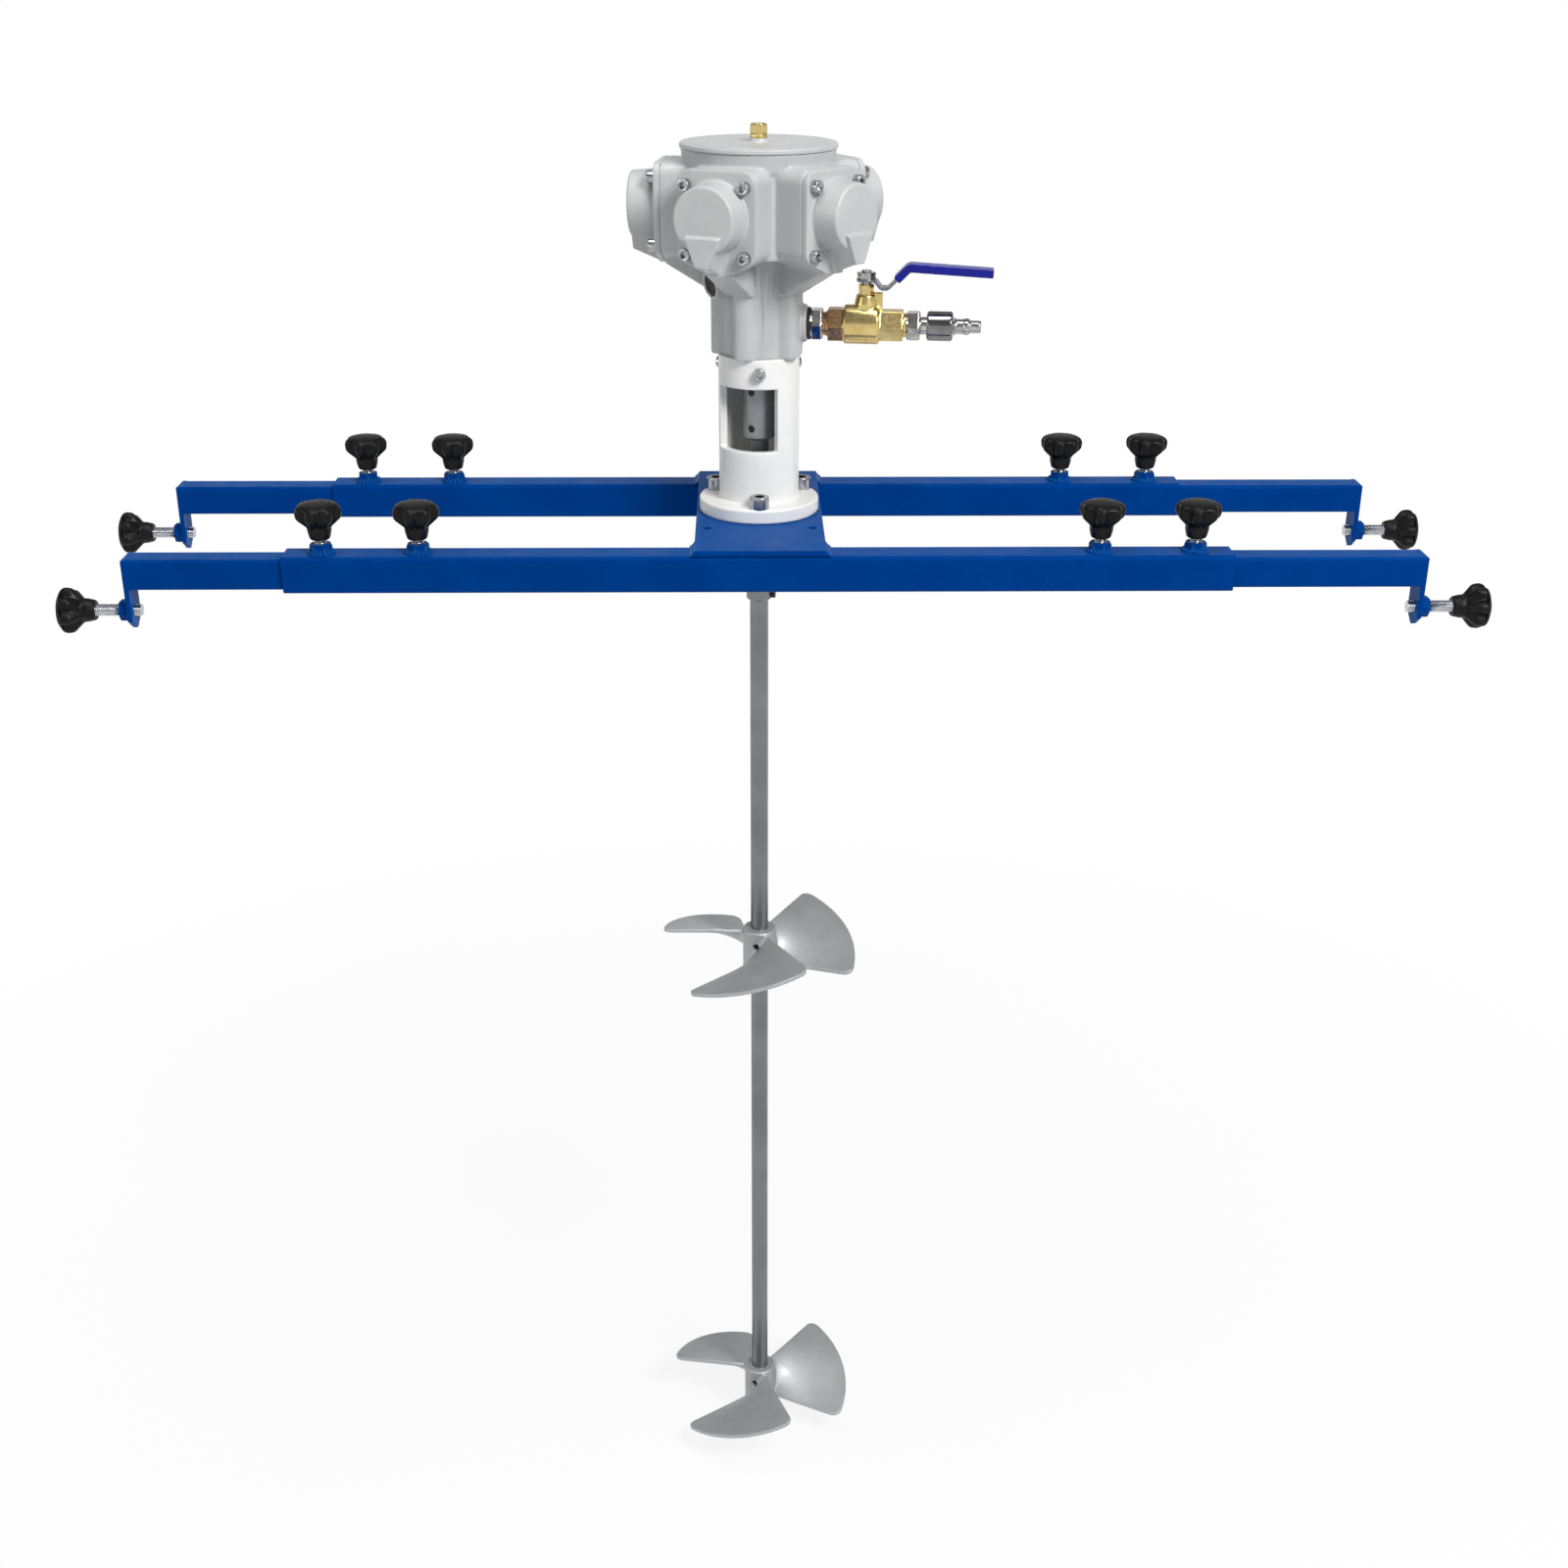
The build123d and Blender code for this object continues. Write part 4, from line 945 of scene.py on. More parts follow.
def softened(host: bpy.types.Object, finish: Finish, skin: Skin) -> bpy.types.Object:
    """Rounds the edges and hollows of a form.

    Args:
        host: Object with a closed mesh, or several that run into each other.
        finish: Finish of the piece.
        skin: How soft it gets.

    Returns:
        The same object with its finished mesh.
    """
    cover = host.modifiers.new("cover", "REMESH")
    cover.mode = "VOXEL"
    cover.voxel_size = skin.voxel * MM
    soft = host.modifiers.new("soft", "SMOOTH")
    soft.factor = 0.5
    soft.iterations = skin.passes
    thin = host.modifiers.new("thin", "DECIMATE")
    thin.ratio = skin.keep
    baked(host)
    host.data.materials.clear()
    host.data.materials.append(finish.material())
    host.data.shade_smooth()
    return host


def recast(name: str, node: str, finish: Finish, skin: Skin) -> bpy.types.Object:
    """Makes a softened copy of a CAD node, whose loose triangles are merged first.

    Args:
        name: Piece's name.
        node: The CAD node.
        finish: Finish of the piece.
        skin: How soft it gets.

    Returns:
        The piece.
    """
    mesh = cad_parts[node].data.copy()
    mesh.name = name
    mesh.materials.clear()
    shape = bmesh.new()
    shape.from_mesh(mesh)
    bmesh.ops.remove_doubles(shape, verts=shape.verts, dist=CAD_GAP)
    shape.to_mesh(mesh)
    shape.free()
    for attribute in [item for item in mesh.attributes if item.name == "custom_normal"]:
        mesh.attributes.remove(attribute)
    return softened(new_object(name, mesh), finish, skin)


def joined(name: str, finish: Finish,
           pieces: Sequence[bpy.types.Object]) -> bpy.types.Object:
    """Joins pieces into one of a single finish.

    Args:
        name: Name of the new piece.
        finish: Its finish.
        pieces: Pieces at the origin, removed afterwards.

    Returns:
        The new piece.
    """
    shape = bmesh.new()
    for piece in pieces:
        shape.from_mesh(piece.data)
        bpy.data.objects.remove(piece)
    mesh = bpy.data.meshes.new(name)
    shape.to_mesh(mesh)
    shape.free()
    mesh.materials.append(finish.material())
    return new_object(name, mesh)


def banded(piece: bpy.types.Object, finish: Finish,
           chosen: Callable[[Vector], bool]) -> bpy.types.Object:
    """Gives some of a piece's faces a second finish.

    Args:
        piece: Piece with one finish.
        finish: The second finish.
        chosen: Tells from a face's middle, in millimetres, whether it takes that finish.

    Returns:
        The same piece.
    """
    piece.data.materials.append(finish.material())
    for face in piece.data.polygons:
        if chosen(face.center / MM):
            face.material_index = len(piece.data.materials) - 1
    return piece


def drilled(host: bpy.types.Object, cutter: bpy.types.Object) -> bpy.types.Object:
    """Cuts one form out of another.

    Args:
        host: Form that is cut.
        cutter: Form that cuts, removed afterwards.

    Returns:
        The first one.
    """
    cut = host.modifiers.new("cut", "BOOLEAN")
    cut.operation = "DIFFERENCE"
    cut.object = cutter
    cut.solver = "EXACT"
    baked(host)
    bpy.data.objects.remove(cutter)
    return host


def settle(piece: bpy.types.Object, body: Body | str, slot: str, *nodes: str) -> None:
    """Attaches a finished piece to its body and hides the CAD nodes that it replaces.

    Args:
        piece: The piece.
        body: Body that it moves with.
        slot: Record's material slot that its finish stands for; not used.
        *nodes: CAD nodes that it replaces.
    """
    host = body.value if isinstance(body, Body) else body
    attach(piece, host)
    if nodes:
        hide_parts(*nodes)
    LOG.info("%s: %d faces on %s", piece.name, len(piece.data.polygons), host)


def dress(finish: Finish, *nodes: str) -> None:
    """Gives CAD nodes a finish through their objects' material slots.

    Args:
        finish: The finish.
        *nodes: Names of the nodes.
    """
    for node in nodes:
        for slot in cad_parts[node].material_slots:
            slot.material = finish.material()
        LOG.info("%s: dressed in %s", node, finish.title)


@dataclass
class Bridge:
    """Plate, two rails and the weld nuts of the rail clamps."""

    shop: Workshop
    plate_skin: Skin = Skin(0.9, 3, 0.3)
    rail_top: float = -5.0
    rail_y: float = 108.8
    clamp_places: tuple[float, ...] = (-350.0, -273.0, 273.0, 350.0)
    nut_radius: float = 9.25
    nut_height: float = 8.0
    nut_bore: float = 5.15
    bead_path: float = 8.95
    bead_lift: float = 0.5
    bead_points: int = 40
    bead_radius: float = 2.0
    bead_step: float = 3.0
    bead_ripple: float = 0.5
    bead_seed: int = 4

    def seats(self) -> list[Matrix]:
        """Gives the places of the weld nuts."""
        return [upward(x, y, self.rail_top) for x in self.clamp_places
                for y in (-self.rail_y, self.rail_y)]

    def weld_nuts(self) -> bpy.types.Object:
        """Makes the weld nuts, chamfered at the top and painted over."""
        top, rim, bore = self.nut_height, self.nut_radius, self.nut_bore
        return self.shop.screws("weld_nuts", self.seats(), [
            Ring(bore, 0), Ring(bore, top - 0.6), Ring(bore + 0.6, top),
            Ring(rim * 0.86, top, 0.3), Ring(rim, top - 1.6, 0.8, hexed=1),
            Ring(rim, 0, hexed=1), Ring(bore, 0)], POWDER_COAT, segments=48)

    def nut_beads(self) -> bpy.types.Object:
        """Makes the weld bead round each nut's foot."""
        points, edges = [], []
        for seat in self.seats():
            first = len(points)
            for step in range(self.bead_points):
                turn = math.tau * step / self.bead_points
                points.append(seat @ Vector((self.bead_path * math.cos(turn),
                                             self.bead_path * math.sin(turn),
                                             self.bead_lift)))
                edges.append((first + step, first + (step + 1) % self.bead_points))
        return grown("nut_beads", rule_points("nut_beads_path", points, edges),
                     self.shop.beads, radius=self.bead_radius * MM,
                     step=self.bead_step * MM, ripple=self.bead_ripple,
                     seed=self.bead_seed, material=POWDER_COAT.material())

    def build(self) -> None:
        """Builds and dresses the bridge."""
        plate = recast("plate_and_beads", "bridge_plate", POWDER_COAT, self.plate_skin)
        settle(plate, Body.BRIDGE, "frame_blue", "bridge_plate")
        settle(self.weld_nuts(), Body.BRIDGE, "frame_blue", "rail_clamp_nuts")
        settle(self.nut_beads(), Body.BRIDGE, "frame_blue")
        dress(TUBE_COAT, "front_rail", "rear_rail")


@dataclass
class Clamp:
    """One clamp screw: a threaded stud and its lobed knob."""

    shop: Workshop
    name: str
    seat: Matrix
    stud_start: float
    stud_radius: float = 5.0
    pitch: float = 1.5
    thread_depth: float = 0.75
    rings_per_turn: int = 6
    bore_radius: float = 5.2
    grip_depth: float = 15.0
    hub_radius: float = 10.0
    hub_height: float = 11.0
    head_radius: float = 18.8
    height: float = 29.5
    core_radius: float = 14.2
    lobes: int = 7

    def stud(self) -> bpy.types.Object:
        """Makes the stud with its thread."""
        length = self.grip_depth - self.stud_start
        piece = grown(f"{self.name}_stud_thread", rule_points(f"{self.name}_stud_axis"),
                      self.shop.threads, radius=self.stud_radius * MM,
                      pitch=self.pitch * MM, depth=self.thread_depth * MM,
                      length=length * MM, segments=24, material=ZINC.material(),
                      rings=int(length / self.pitch * self.rings_per_turn) + 3)
        return put(piece, self.seat @ upward(0, 0, self.stud_start))

    def knob(self) -> bpy.types.Object:
        """Makes the knob: a hub that flares into seven lobes under a low crown."""
        lobed = 1 - self.core_radius / self.head_radius
        top, edge, foot = self.height, self.head_radius, self.hub_height
        hub, bore = self.hub_radius, self.bore_radius
        return self.shop.lathe(f"{self.name}_knob_moulding", [
            Ring(0, top), Ring(self.core_radius * 0.5, top - 0.1),
            Ring(edge * 0.72, top - 0.9, 2.0, lobed=lobed * 0.12),
            Ring(edge - 1.8, top - 2.6, 2.4, lobed=lobed * 0.4),
            Ring(edge, top - 5.6, 2.0, lobed=lobed * 0.85),
            Ring(edge - 0.5, foot + 6.6, 2.5, lobed=lobed),
            Ring(edge - 5.8, foot + 1.8, 2.0, lobed=lobed * 0.8),
            Ring(hub - 0.2, foot - 1.0, 1.5, lobed=lobed * 0.2),
            Ring(hub - 0.6, foot - 5, 1.0), Ring(hub - 1.8, 1.0, 0.8), Ring(hub - 2.6, 0, 0.4),
            Ring(bore, 0), Ring(bore, self.grip_depth), Ring(0, self.grip_depth)],
            NYLON, self.seat, segments=126, lobes=self.lobes)

    def build(self) -> None:
        """Builds the clamp screw."""
        settle(self.stud(), f"{self.name}_stud", "zinc_steel", f"{self.name}_stud")
        settle(self.knob(), f"{self.name}_knob", "knob_black", f"{self.name}_knob")


@dataclass
class Arm:
    """A sliding arm with its hook plate, its hook screw and its two rail clamps."""

    shop: Workshop
    name: str
    side_x: int
    side_y: int
    reach: float
    skin: Skin = Skin(1.0, 2, 0.2)
    rail_y: float = 108.8
    hook_screw_z: float = -52.5
    hook_seat: float = 27.5
    hook_tip: float = -9.0
    rail_seat_z: float = 6.7
    rail_tip_z: float = -7.2
    clamp_places: tuple[tuple[str, float], ...] = (("inner", 273.0), ("outer", 350.0))

    def build(self) -> None:
        """Builds and dresses the arm."""
        y, node = self.side_y * self.rail_y, f"{self.name}_arm"
        settle(recast(f"{node}_weldment", node, POWDER_COAT, self.skin), node, "frame_blue",
               node)
        hook = sideward(self.side_x, self.side_x * (self.reach + self.hook_seat), y,
                        self.hook_screw_z)
        Clamp(self.shop, f"{self.name}_hook", hook, self.hook_tip - self.hook_seat).build()
        for place, x in self.clamp_places:
            seat = upward(self.side_x * x, y, self.rail_seat_z)
            Clamp(self.shop, f"{self.name}_{place}", seat,
                  self.rail_tip_z - self.rail_seat_z).build()


@dataclass
class Lantern:
    """White flange and window tube that carries the motor, with its screws."""

    shop: Workshop
    skin: Skin = Skin(0.8, 3, 0.4)
    thirds: tuple[float, ...] = (0.0, 120.0, 240.0)
    flange_top: float = 12.0
    flange_circle: float = 42.0
    flange_screw: CapScrew = CapScrew(8.0, 10.0, 5.0, 17.0, 4.6)
    radial_height: float = 121.0
    radial_seat: float = 32.8
    radial_screw: CapScrew = CapScrew(5.2, 6.0, 3.0, 14.0, 2.9)

    def build(self) -> None:
        """Builds and dresses the lantern."""
        tube = recast("lantern_casting", "lantern", LANTERN_PAINT, self.skin)
        settle(tube, Body.BRIDGE, "lantern_white", "lantern")
        for kind, screw, seats in (
            ("flange", self.flange_screw, [
                upward(*outward(bearing, self.flange_circle, self.flange_top).translation)
                for bearing in self.thirds]),
            ("lantern", self.radial_screw, [
                outward(bearing, self.radial_seat, self.radial_height)
                for bearing in self.thirds]),
        ):
            screws = self.shop.screws(f"{kind}_cap_screws", seats, screw.rings(),
                                      SOCKET_STEEL)
            settle(screws, Body.BRIDGE, "zinc_steel", f"{kind}_screws")


@dataclass
class AirMotor:
    """Five-cylinder radial air motor: housing, heads, cover, screws and silencer."""

    shop: Workshop
    housing_skin: Skin = Skin(1.1, 4, 0.5)
    heads_skin: Skin = Skin(0.8, 3, 0.35)
    bearings: tuple[float, ...] = tuple(-25.0 + 72 * number for number in range(5))
    cylinder_z: float = 249.5
    head_face: float = 80.0
    head_screw: CapScrew = CapScrew(5.0, 6.0, 3.0, 12.0, 2.9)
    screw_x: float = 25.0
    screw_heights: tuple[float, float] = (23.0, -29.0)
    cover_radius: float = 63.0
    cover_bottom: float = 294.0
    cover_top: float = 298.3
    spigot_radius: float = 41.9
    spigot_depth: float = 6.0
    seat_radius: float = 8.0
    seat_top: float = 300.8
    plug_radius: float = 7.0
    plug_top: float = 312.0
    plug_thread: float = 4.0
    neck_radii: tuple[float, float] = (29.0, 41.0)
    neck_span: tuple[float, float] = (130.0, 196.0)
    neck_blend: float = 14.0
    flutes: tuple[float, ...] = (-57.0, 15.0, 159.0, 231.0)
    flute_half: float = 29.0
    flute_depth: float = 5.6

    def screw_seats(self) -> list[Matrix]:
        """Gives the places of the heads' screws."""
        return [outward(bearing, self.head_face, self.cylinder_z + z) @ upward(x, 0, 0)
                for bearing in self.bearings for x in (-self.screw_x, self.screw_x)
                for z in self.screw_heights]

    def flute(self, housing: bpy.types.Object) -> None:
        """Hollows the neck between its ribs.

        Args:
            housing: The housing's casting, whose outer skin is drawn in.
        """
        inner, outer = self.neck_radii
        foot, top = self.neck_span
        for vertex in housing.data.vertices:
            spot = vertex.co / MM
            radius = math.hypot(spot.x, spot.y)
            if not (inner < radius < outer and foot < spot.z < top):
                continue
            bearing = math.degrees(math.atan2(spot.x, -spot.y))
            for middle in self.flutes:
                away = abs((bearing - middle + 180) % 360 - 180) / self.flute_half
                if away < 1:
                    wall = min(1.0, 2.0 * (1 - away))
                    dip = self.flute_depth * wall * wall * (3 - 2 * wall)
                    dip *= min(1.0, (top - spot.z) / self.neck_blend)
                    vertex.co.xy *= 1 - dip / radius
        housing.data.update()

    def cover(self) -> bpy.types.Object:
        """Makes the cover with its stepped rim and the plug's seat."""
        top, foot, rim = self.cover_top, self.cover_bottom, self.cover_radius
        low = foot - self.spigot_depth
        return self.shop.lathe("cover_disc", [
            Ring(0, self.seat_top), Ring(self.seat_radius, self.seat_top, 0.6),
            Ring(self.seat_radius + 0.5, top, 0.8), Ring(rim - 7.5, top),
            Ring(rim - 7.2, top - 0.25), Ring(rim - 0.2, top - 0.3, 1.3),
            Ring(rim, foot + 0.2, 0.7), Ring(rim - 1.2, foot), Ring(self.spigot_radius, foot),
            Ring(self.spigot_radius, low), Ring(0, low)], CAST_PAINT, segments=120)

    def plug(self) -> bpy.types.Object:
        """Makes the brass filler plug."""
        foot, rim, thread = self.seat_top, self.plug_radius, self.plug_thread
        low = foot - self.spigot_depth
        return self.shop.lathe("filler_plug_brass", [
            Ring(0, self.plug_top), Ring(rim * 0.8, self.plug_top, 0.5),
            Ring(rim * 0.98, self.plug_top - 1.4, 0.5, hexed=1),
            Ring(rim * 0.98, foot + 3.4, hexed=1), Ring(rim * 0.8, foot + 3),
            Ring(rim, foot + 3, 0.4), Ring(rim, foot + 0.1, 0.4), Ring(thread, foot),
            Ring(thread, low), Ring(0, low)], BRASS)

    def build(self) -> None:
        """Builds and dresses the motor."""
        housing = recast("housing_casting", "motor_housing", CAST_PAINT, self.housing_skin)
        self.flute(housing)
        heads = recast("head_castings", "cylinder_heads", CAST_PAINT, self.heads_skin)
        screws = self.shop.screws("head_cap_screws", self.screw_seats(),
                                  self.head_screw.rings(), SOCKET_STEEL)
        for piece, slot, node in (
            (housing, "motor_grey", "motor_housing"), (heads, "motor_grey", "cylinder_heads"),
            (screws, "zinc_steel", "head_screws"), (self.cover(), "motor_grey", "motor_cover"),
            (self.plug(), "brass", "filler_plug"),
        ):
            settle(piece, Body.BRIDGE, slot, node)
        dress(MESH_PAD, "exhaust_silencer")
        dress(GROUND, "shaft_bearings", "crankshaft", "crank_ring")
        dress(PISTON, "pistons")


@dataclass
class Impeller:
    """Three helical blades cast in one with their hub."""

    shop: Workshop
    name: str
    middle: float
    high_corner: float
    skin: Skin = Skin(0.9, 3, 0.45)
    tip: float = 90.0
    hub_radius: float = 15.4
    hub_length: float = 46.5
    hub_edge: float = 1.2
    rise: float = 33.0
    sweep: float = 78.0
    thickness: float = 4.0
    corner: float = 9.0
    fillet: float = 3.0
    blade_lift: float = 2.75
    screw_lift: float = 9.5
    screw_turn: float = -162.0
    hole_radius: float = 3.1
    hole_floor: float = 8.5
    hole_length: float = 12.0
    slot_turn: float = 30.0
    slot_radius: float = 1.3
    slot_half: float = 5.2
    slot_depth: float = 1.6
    slot_length: float = 4.0

    def hub(self) -> bpy.types.Object:
        """Makes the hub, chamfered at both ends."""
        half, rim, edge = self.hub_length / 2, self.hub_radius, self.hub_edge
        return self.shop.lathe(f"{self.name}_hub", [
            Ring(0, half), Ring(rim - edge, half, 0.5), Ring(rim, half - edge, 0.5),
            Ring(rim, edge - half, 0.5), Ring(rim - edge, -half, 0.5), Ring(0, -half)],
            BLASTED, upward(0, 0, self.middle), segments=60)

    def blades(self) -> bpy.types.Object:
        """Makes the three blades, turned to the bearing of the photograph."""
        piece = grown(f"{self.name}_blades", rule_points(f"{self.name}_blades_base"),
                      self.shop.blades, root=(self.hub_radius - 1) * MM,
                      tip=self.tip * MM, sweep=math.radians(self.sweep),
                      rise=self.rise * MM, thickness=self.thickness * MM,
                      corner=self.corner * MM, fillet=self.fillet * MM, blades=3,
                      material=BLASTED.material())
        turn = math.radians(self.high_corner - 90 - self.sweep / 2)
        return put(piece, upward(0, 0, self.middle + self.blade_lift)
                   @ Matrix.Rotation(turn, 4, "Z"))

    def cutters(self) -> bpy.types.Object:
        """Makes the forms that cut the set screw's hole and the slot beside it."""
        bearing = self.high_corner + self.screw_turn
        height = self.middle + self.screw_lift
        hole, slot = [
            self.shop.lathe(name, [
                Ring(0, length), Ring(radius, length), Ring(radius, 0), Ring(0, 0)],
                BLASTED, segments=segments)
            for name, radius, length, segments in (
                ("hole", self.hole_radius, self.hole_length, 32),
                ("slot", self.slot_radius, self.slot_length, 24))
        ]
        put(hole, outward(bearing, self.hole_floor, height))
        for vertex in slot.data.vertices:
            vertex.co.y += math.copysign(self.slot_half * MM, vertex.co.y)
        put(slot, outward(bearing + self.slot_turn, self.hub_radius - self.slot_depth, height))
        return joined("cutters", BLASTED, [hole, slot])

    def build(self) -> None:
        """Builds the impeller."""
        rough = joined(f"{self.name}_casting", BLASTED, [self.hub(), self.blades()])
        casting = drilled(softened(rough, BLASTED, self.skin), self.cutters())
        settle(casting, Body.SHAFT, "impeller_cast", self.name)


@dataclass
class ShaftLine:
    """Everything that turns: coupling, spindle, sleeve, shaft, impellers and set screws."""

    shop: Workshop
    coupling_skin: Skin = Skin(0.5, 2, 0.4)
    impellers: tuple[tuple[str, float, float], ...] = (
        ("upper_impeller", -425.8, 150.0), ("lower_impeller", -939.9, 141.4))

    def build(self) -> None:
        """Builds and dresses the shaft line."""
        coupling = recast("coupling_sleeve", "shaft_coupling", COUPLING, self.coupling_skin)
        settle(coupling, Body.SHAFT, "shaft_steel", "shaft_coupling")
        dress(TURNED, "spindle", "stirring_shaft", "shaft_sleeve")
        dress(BLACK_OXIDE, "set_screws")
        for name, middle, corner in self.impellers:
            Impeller(self.shop, name, middle, corner).build()


def hexagon(start: float, end: float, radius: float) -> tuple[Ring, ...]:
    """Gives the outline of a hexagon with chamfered corners.

    Args:
        start: Place of its lower face, in millimetres along its axis.
        end: Place of its upper face.
        radius: Corner radius.

    Returns:
        Rings from its end to its start.
    """
    return (Ring(0, end), Ring(radius * 0.87, end, 0.2),
            Ring(radius, end - 1.3, 0.4, hexed=1), Ring(radius, start + 1.3, 0.4, hexed=1),
            Ring(radius * 0.87, start, 0.2), Ring(0, start))


@dataclass
class AirInlet:
    """Inlet union, ball valve with its lever, hose nipple and quick plug.

    The outlines run along the inlet's axis, with their heights measured from the shaft.
    """

    shop: Workshop
    bearing: float = 83.0
    height: float = 157.0
    # Distance along the inlet's axis up to which the valve forging takes the browner colour, a
    # painted shade.
    shaded_end: float = 69.2
    body_skin: Skin = Skin(0.5, 3, 0.4)
    lever_skin: Skin = Skin(0.45, 2, 0.35)
    grip_skin: Skin = Skin(0.6, 8, 0.5)
    seal: tuple[Ring, ...] = (Ring(0, 43), Ring(13, 43, 0.8), Ring(13, 40, 0.8), Ring(0, 40))
    union: tuple[Ring, ...] = hexagon(43, 53, 13.5)
    neck: tuple[Ring, ...] = (
        Ring(0, 57.2), Ring(10, 57.2), Ring(10, 55, 0.4), Ring(9.2, 54.6, 0.3),
        Ring(9.2, 52.8), Ring(0, 52.8))
    nipple: tuple[Ring, ...] = (
        Ring(0, 137.5), Ring(7, 137.5), Ring(7, 132.4, 0.4), *hexagon(121, 132, 12.5)[1:])
    plug: tuple[Ring, ...] = (
        Ring(0, 181.3), Ring(3.6, 181.3), Ring(4.4, 181.1, 0.4), Ring(5, 180, 0.5),
        Ring(5, 172.4, 0.6), Ring(6.6, 171.2, 0.6), Ring(6.6, 168, 0.6), Ring(6, 167, 0.5),
        Ring(6, 160.5, 1.2), Ring(8.6, 158.6, 0.6), Ring(10.6, 158.4, 0.5),
        Ring(11.85, 157, 0.5), Ring(11.85, 138.7, 0.5), Ring(10.6, 137.3, 0.4),
        Ring(0, 137.3))
    dark_radius: float = 11.05

    def build(self) -> None:
        """Builds and dresses the inlet."""
        along = outward(self.bearing, 0, self.height)
        axis = along.to_3x3() @ Vector((0, 0, 1))
        bands = {
            # The valve forging's end hexagon is painted browner: painted shade, not a second
            # metal.
            "valve_forging": (BRONZE_AND_SHADE, lambda middle: middle.dot(axis) < self.shaded_end),
            "plug_barrel": (DARK_PLATE, lambda middle: (
                middle - along.translation).cross(axis).length > self.dark_radius),
        }
        still, swung = Body.BRIDGE, Body.LEVER
        for name, finish, form, body, slot, *nodes in (
            ("inlet_seal", NITRILE, self.seal, still, "knob_black"),
            ("inlet_union_hexagon", NICKEL, self.union, still, "zinc_steel", "inlet_union"),
            ("inlet_union_neck", BRONZE_AND_SHADE, self.neck, still, "brass"),
            ("valve_forging", BRASS, self.body_skin, still, "brass", "valve_body"),
            ("lever_strip", STRIP, self.lever_skin, swung, "lever_steel", "lever"),
            ("grip_sleeve", VINYL, self.grip_skin, swung, "grip_blue", "lever_grip"),
            ("nipple_hexagon", NICKEL, self.nipple, still, "zinc_steel", "hose_nipple"),
            ("plug_barrel", NICKEL, self.plug, still, "zinc_steel", "quick_plug"),
        ):
            if isinstance(form, Skin):
                piece = recast(name, nodes[0], finish, form)
            else:
                piece = self.shop.lathe(name, form, finish, along, segments=60)
            if name in bands:
                banded(piece, *bands[name])
            settle(piece, body, slot, *nodes)
        dress(SOCKET_STEEL, "valve_ball")
        dress(NICKEL, "lever_nut")


@dataclass(frozen=True)
class Lamp:
    """A soft square lamp.

    Args:
        name: Lamp's name.
        place: Where it hangs, in metres.
        aim: What it looks at, in metres.
        size: Side of its square, in metres.
        watts: Power.
    """

    name: str
    place: tuple[float, float, float]
    aim: tuple[float, float, float]
    size: float
    watts: float

    def hang(self) -> None:
        """Hangs the lamp."""
        data = bpy.data.lights.new(self.name, "AREA")
        data.size = self.size
        data.energy = self.watts
        look = Vector(self.aim) - Vector(self.place)
        new_object(self.name, data).matrix_world = (
            Matrix.Translation(self.place) @ look.to_track_quat("-Z", "Y").to_matrix().to_4x4())


def seen_by(tree: bpy.types.NodeTree, *kinds: str) -> bpy.types.NodeSocket:
    """Tells whether a ray of one of some kinds looks at a surface.

    Args:
        tree: Tree of a material or world.
        *kinds: Kinds of ray, as Light Path names them.

    Returns:
        Socket that is 1 for such a ray and 0 for any other.
    """
    path = add(tree, "ShaderNodeLightPath")
    seen, *others = [path.outputs[f"Is {kind} Ray"] for kind in kinds]
    for other in others:
        seen = add(tree, "ShaderNodeMath", {0: seen, 1: other}, operation="MAXIMUM").outputs[0]
    return seen


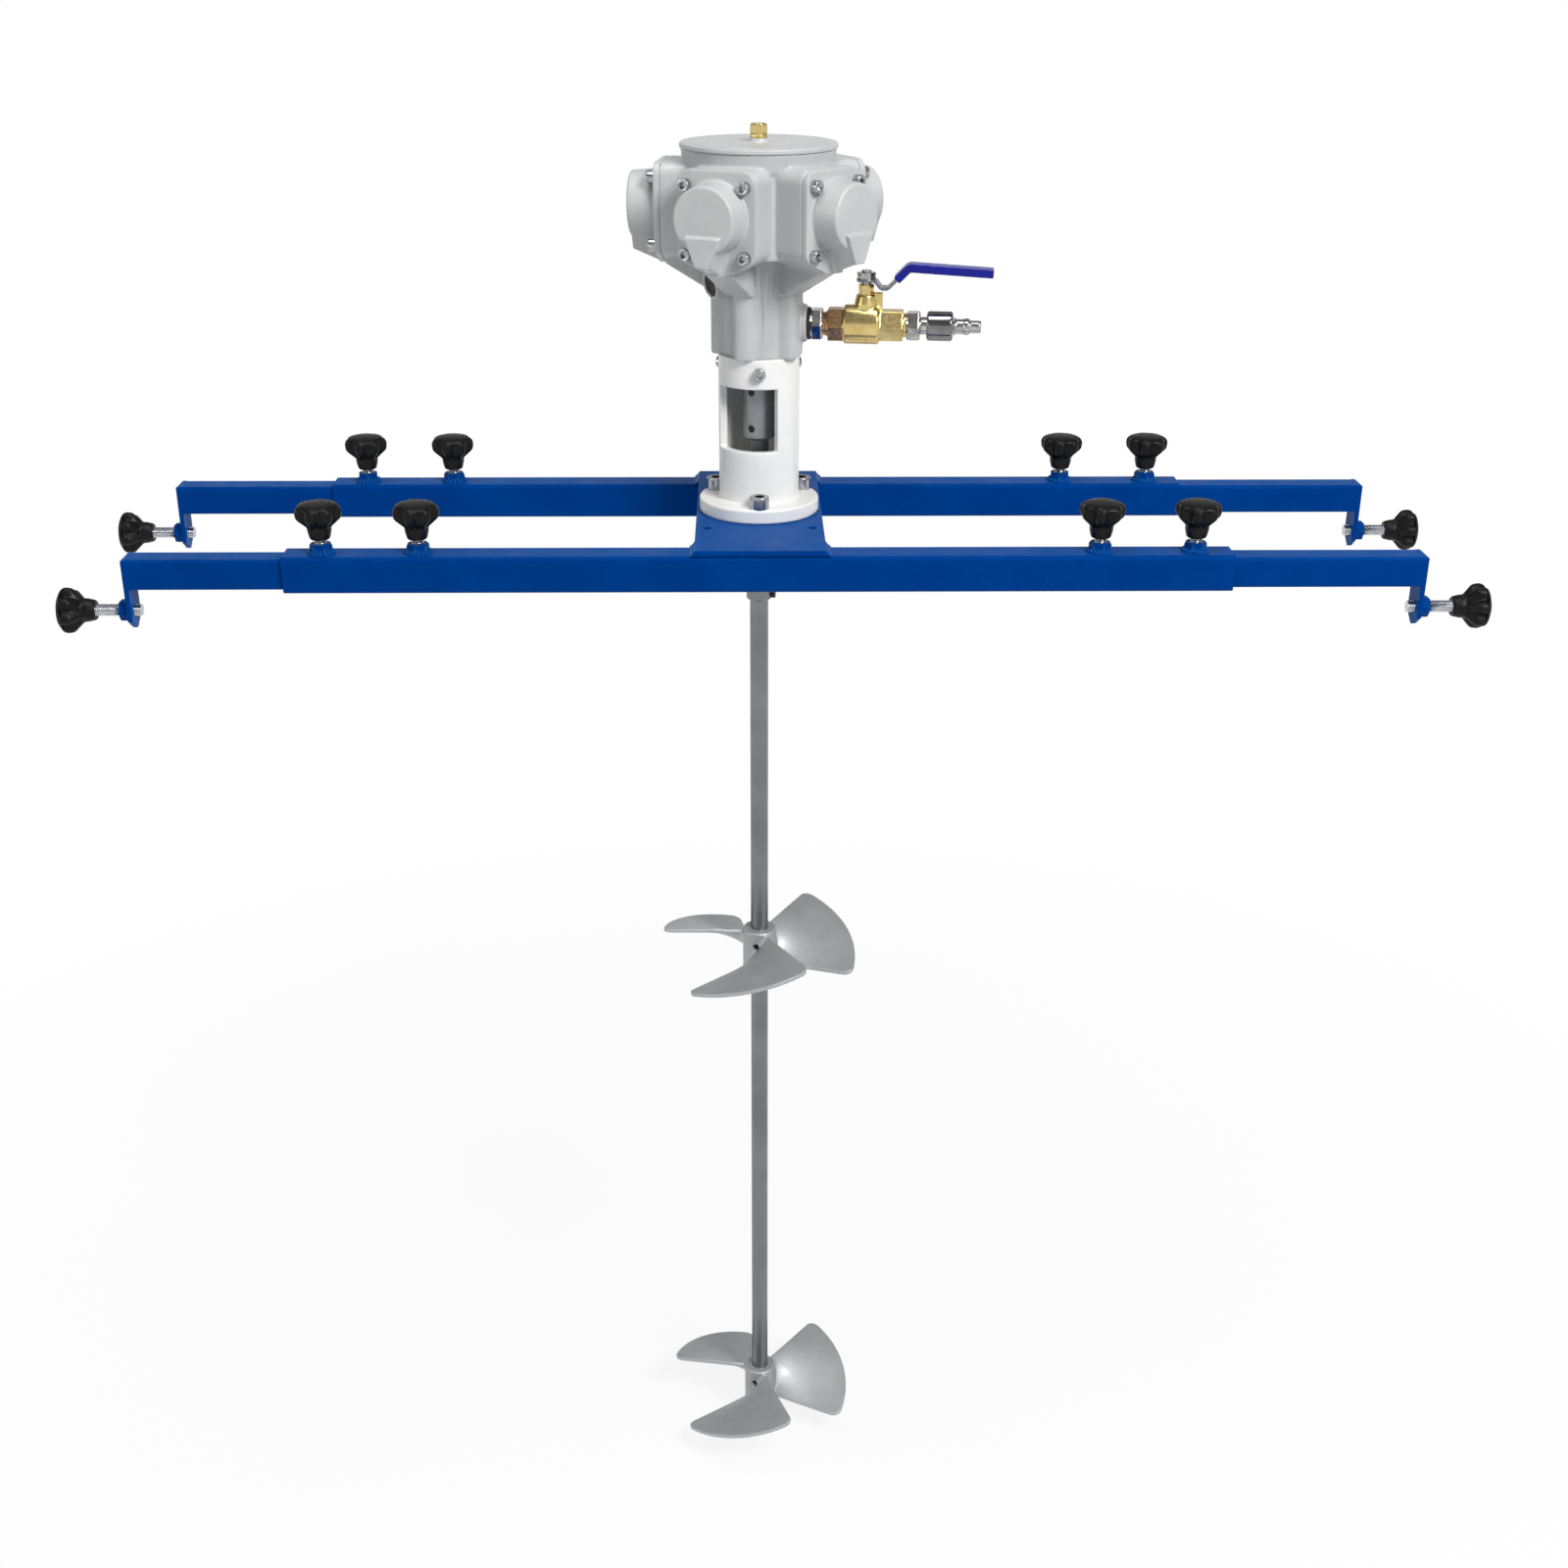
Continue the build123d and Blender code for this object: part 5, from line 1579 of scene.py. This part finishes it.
@dataclass
class Studio:
    """Camera at the photograph's view, a pale floor and soft light, in metres."""

    eye: tuple[float, float, float] = (-0.01507, -1.61308, 0.45795)
    pitch: float = 0.417074
    yaw: float = 0.023205
    roll: float = 0.004655
    lens: float = 44.7707
    sensor: float = 36.0
    floor_z: float = -0.985
    floor_half: float = 6.0
    white_from: float = 0.45
    white_to: float = 1.5
    near_white: float = 0.86
    ambient: float = 0.22
    # Brightness that reflections see, by height from straight down, 0, to straight up, 1.
    room: tuple[tuple[float, float], ...] = (
        (0.0, 0.4), (0.45, 0.9), (0.57, 1.0), (0.62, 0.4), (0.86, 0.2), (1.0, 0.8))
    lamps: tuple[Lamp, ...] = (
        Lamp("key_lamp", (1.5, -2.1, 2.05), (0, 0, 0), 1.1, 104),
        Lamp("fill_lamp", (-2.6, -1.2, 0.9), (0, 0, -0.1), 1.4, 15),
        Lamp("top_lamp", (-0.3, -0.5, 2.9), (0, 0, 0), 1.4, 35))

    def camera(self) -> None:
        """Sets the camera."""
        data = bpy.data.cameras.new("photo_camera")
        data.lens = self.lens
        data.sensor_width = self.sensor
        place = Matrix.Translation(self.eye)
        for turn, axis in ((-self.yaw, "Z"), (math.pi / 2 - self.pitch, "X"),
                           (self.roll, "Z")):
            place @= Matrix.Rotation(turn, 4, axis)
        eye = new_object("photo_camera", data)
        eye.matrix_world = place
        bpy.context.scene.camera = eye

    def world(self) -> None:
        """Makes the world: white to the eye, softer as light, graded in reflections."""
        sky = bpy.data.worlds.new("soft_room")
        tree = empty_tree(sky)
        place = add(tree, "ShaderNodeTexCoord").outputs["Generated"]
        height = add(tree, "ShaderNodeSeparateXYZ", {"Vector": place}).outputs["Z"]
        graded = add(tree, "ShaderNodeValToRGB", {"Fac": add(tree, "ShaderNodeMapRange", {
            "Value": height, "From Min": -1.0, "From Max": 1.0})})
        ramp = graded.color_ramp
        for number, (at, level) in enumerate(self.room):
            stop = ramp.elements[number] if number < 2 else ramp.elements.new(at)
            stop.position, stop.color = at, (level, level, level, 1)
        level = add(tree, "ShaderNodeMix", {
            0: seen_by(tree, "Glossy"), 2: self.ambient, 3: graded})
        level = add(tree, "ShaderNodeMix", {
            0: seen_by(tree, "Camera", "Transmission"), 2: level, 3: 1.0})
        ground = add(tree, "ShaderNodeBackground", {
            "Color": (1, 1, 1, 1), "Strength": level})
        add(tree, "ShaderNodeOutputWorld", {"Surface": ground})
        bpy.context.scene.world = sky

    def floor(self) -> None:
        """Lays the floor, which is near white to the eye and keeps the shadow."""
        shape = bmesh.new()
        bmesh.ops.create_grid(shape, x_segments=8, y_segments=8, size=self.floor_half)
        bmesh.ops.translate(shape, vec=(0, 0, self.floor_z), verts=shape.verts)
        mesh = bpy.data.meshes.new("studio_floor")
        shape.to_mesh(mesh)
        shape.free()
        paper = bpy.data.materials.new("studio_paper")
        tree = empty_tree(paper)
        # Away from the object the paper turns wholly white, so it has no far edge.
        far = add(tree, "ShaderNodeVectorMath", {
            0: add(tree, "ShaderNodeTexCoord").outputs["Object"],
            1: (0.0, 0.0, self.floor_z)}, operation="DISTANCE").outputs["Value"]
        white = add(tree, "ShaderNodeMapRange", {
            "Value": far, "From Min": self.white_from, "From Max": self.white_to,
            "To Min": self.near_white, "To Max": 1.0})
        share = add(tree, "ShaderNodeMath", {
            0: seen_by(tree, "Camera", "Glossy", "Transmission"), 1: white},
            operation="MULTIPLY")
        matt = add(tree, "ShaderNodeBsdfDiffuse", {"Color": (0.9, 0.9, 0.9, 1)})
        bright = add(tree, "ShaderNodeEmission", {"Strength": 1.0})
        both = add(tree, "ShaderNodeMixShader", {0: share, 1: matt, 2: bright})
        add(tree, "ShaderNodeOutputMaterial", {"Surface": both})
        mesh.materials.append(paper)
        new_object("studio_floor", mesh)

    def build(self) -> None:
        """Builds the studio."""
        self.camera()
        self.world()
        self.floor()
        for lamp in self.lamps:
            lamp.hang()
        bpy.context.scene.view_settings.view_transform = "Standard"


def main() -> None:
    """Builds the studio and then every sub-assembly, from the bridge to the inlet."""
    shop = Workshop()
    Studio().build()
    Bridge(shop).build()
    for name, side_x, side_y, reach in (
        ("front_left", -1, -1, 507.0), ("front_right", 1, -1, 537.0),
        ("rear_left", -1, 1, 520.0), ("rear_right", 1, 1, 547.0),
    ):
        Arm(shop, name, side_x, side_y, reach).build()
    for assembly in (Lantern, AirMotor, ShaftLine, AirInlet):
        assembly(shop).build()


if __name__ == "__main__":
    main()
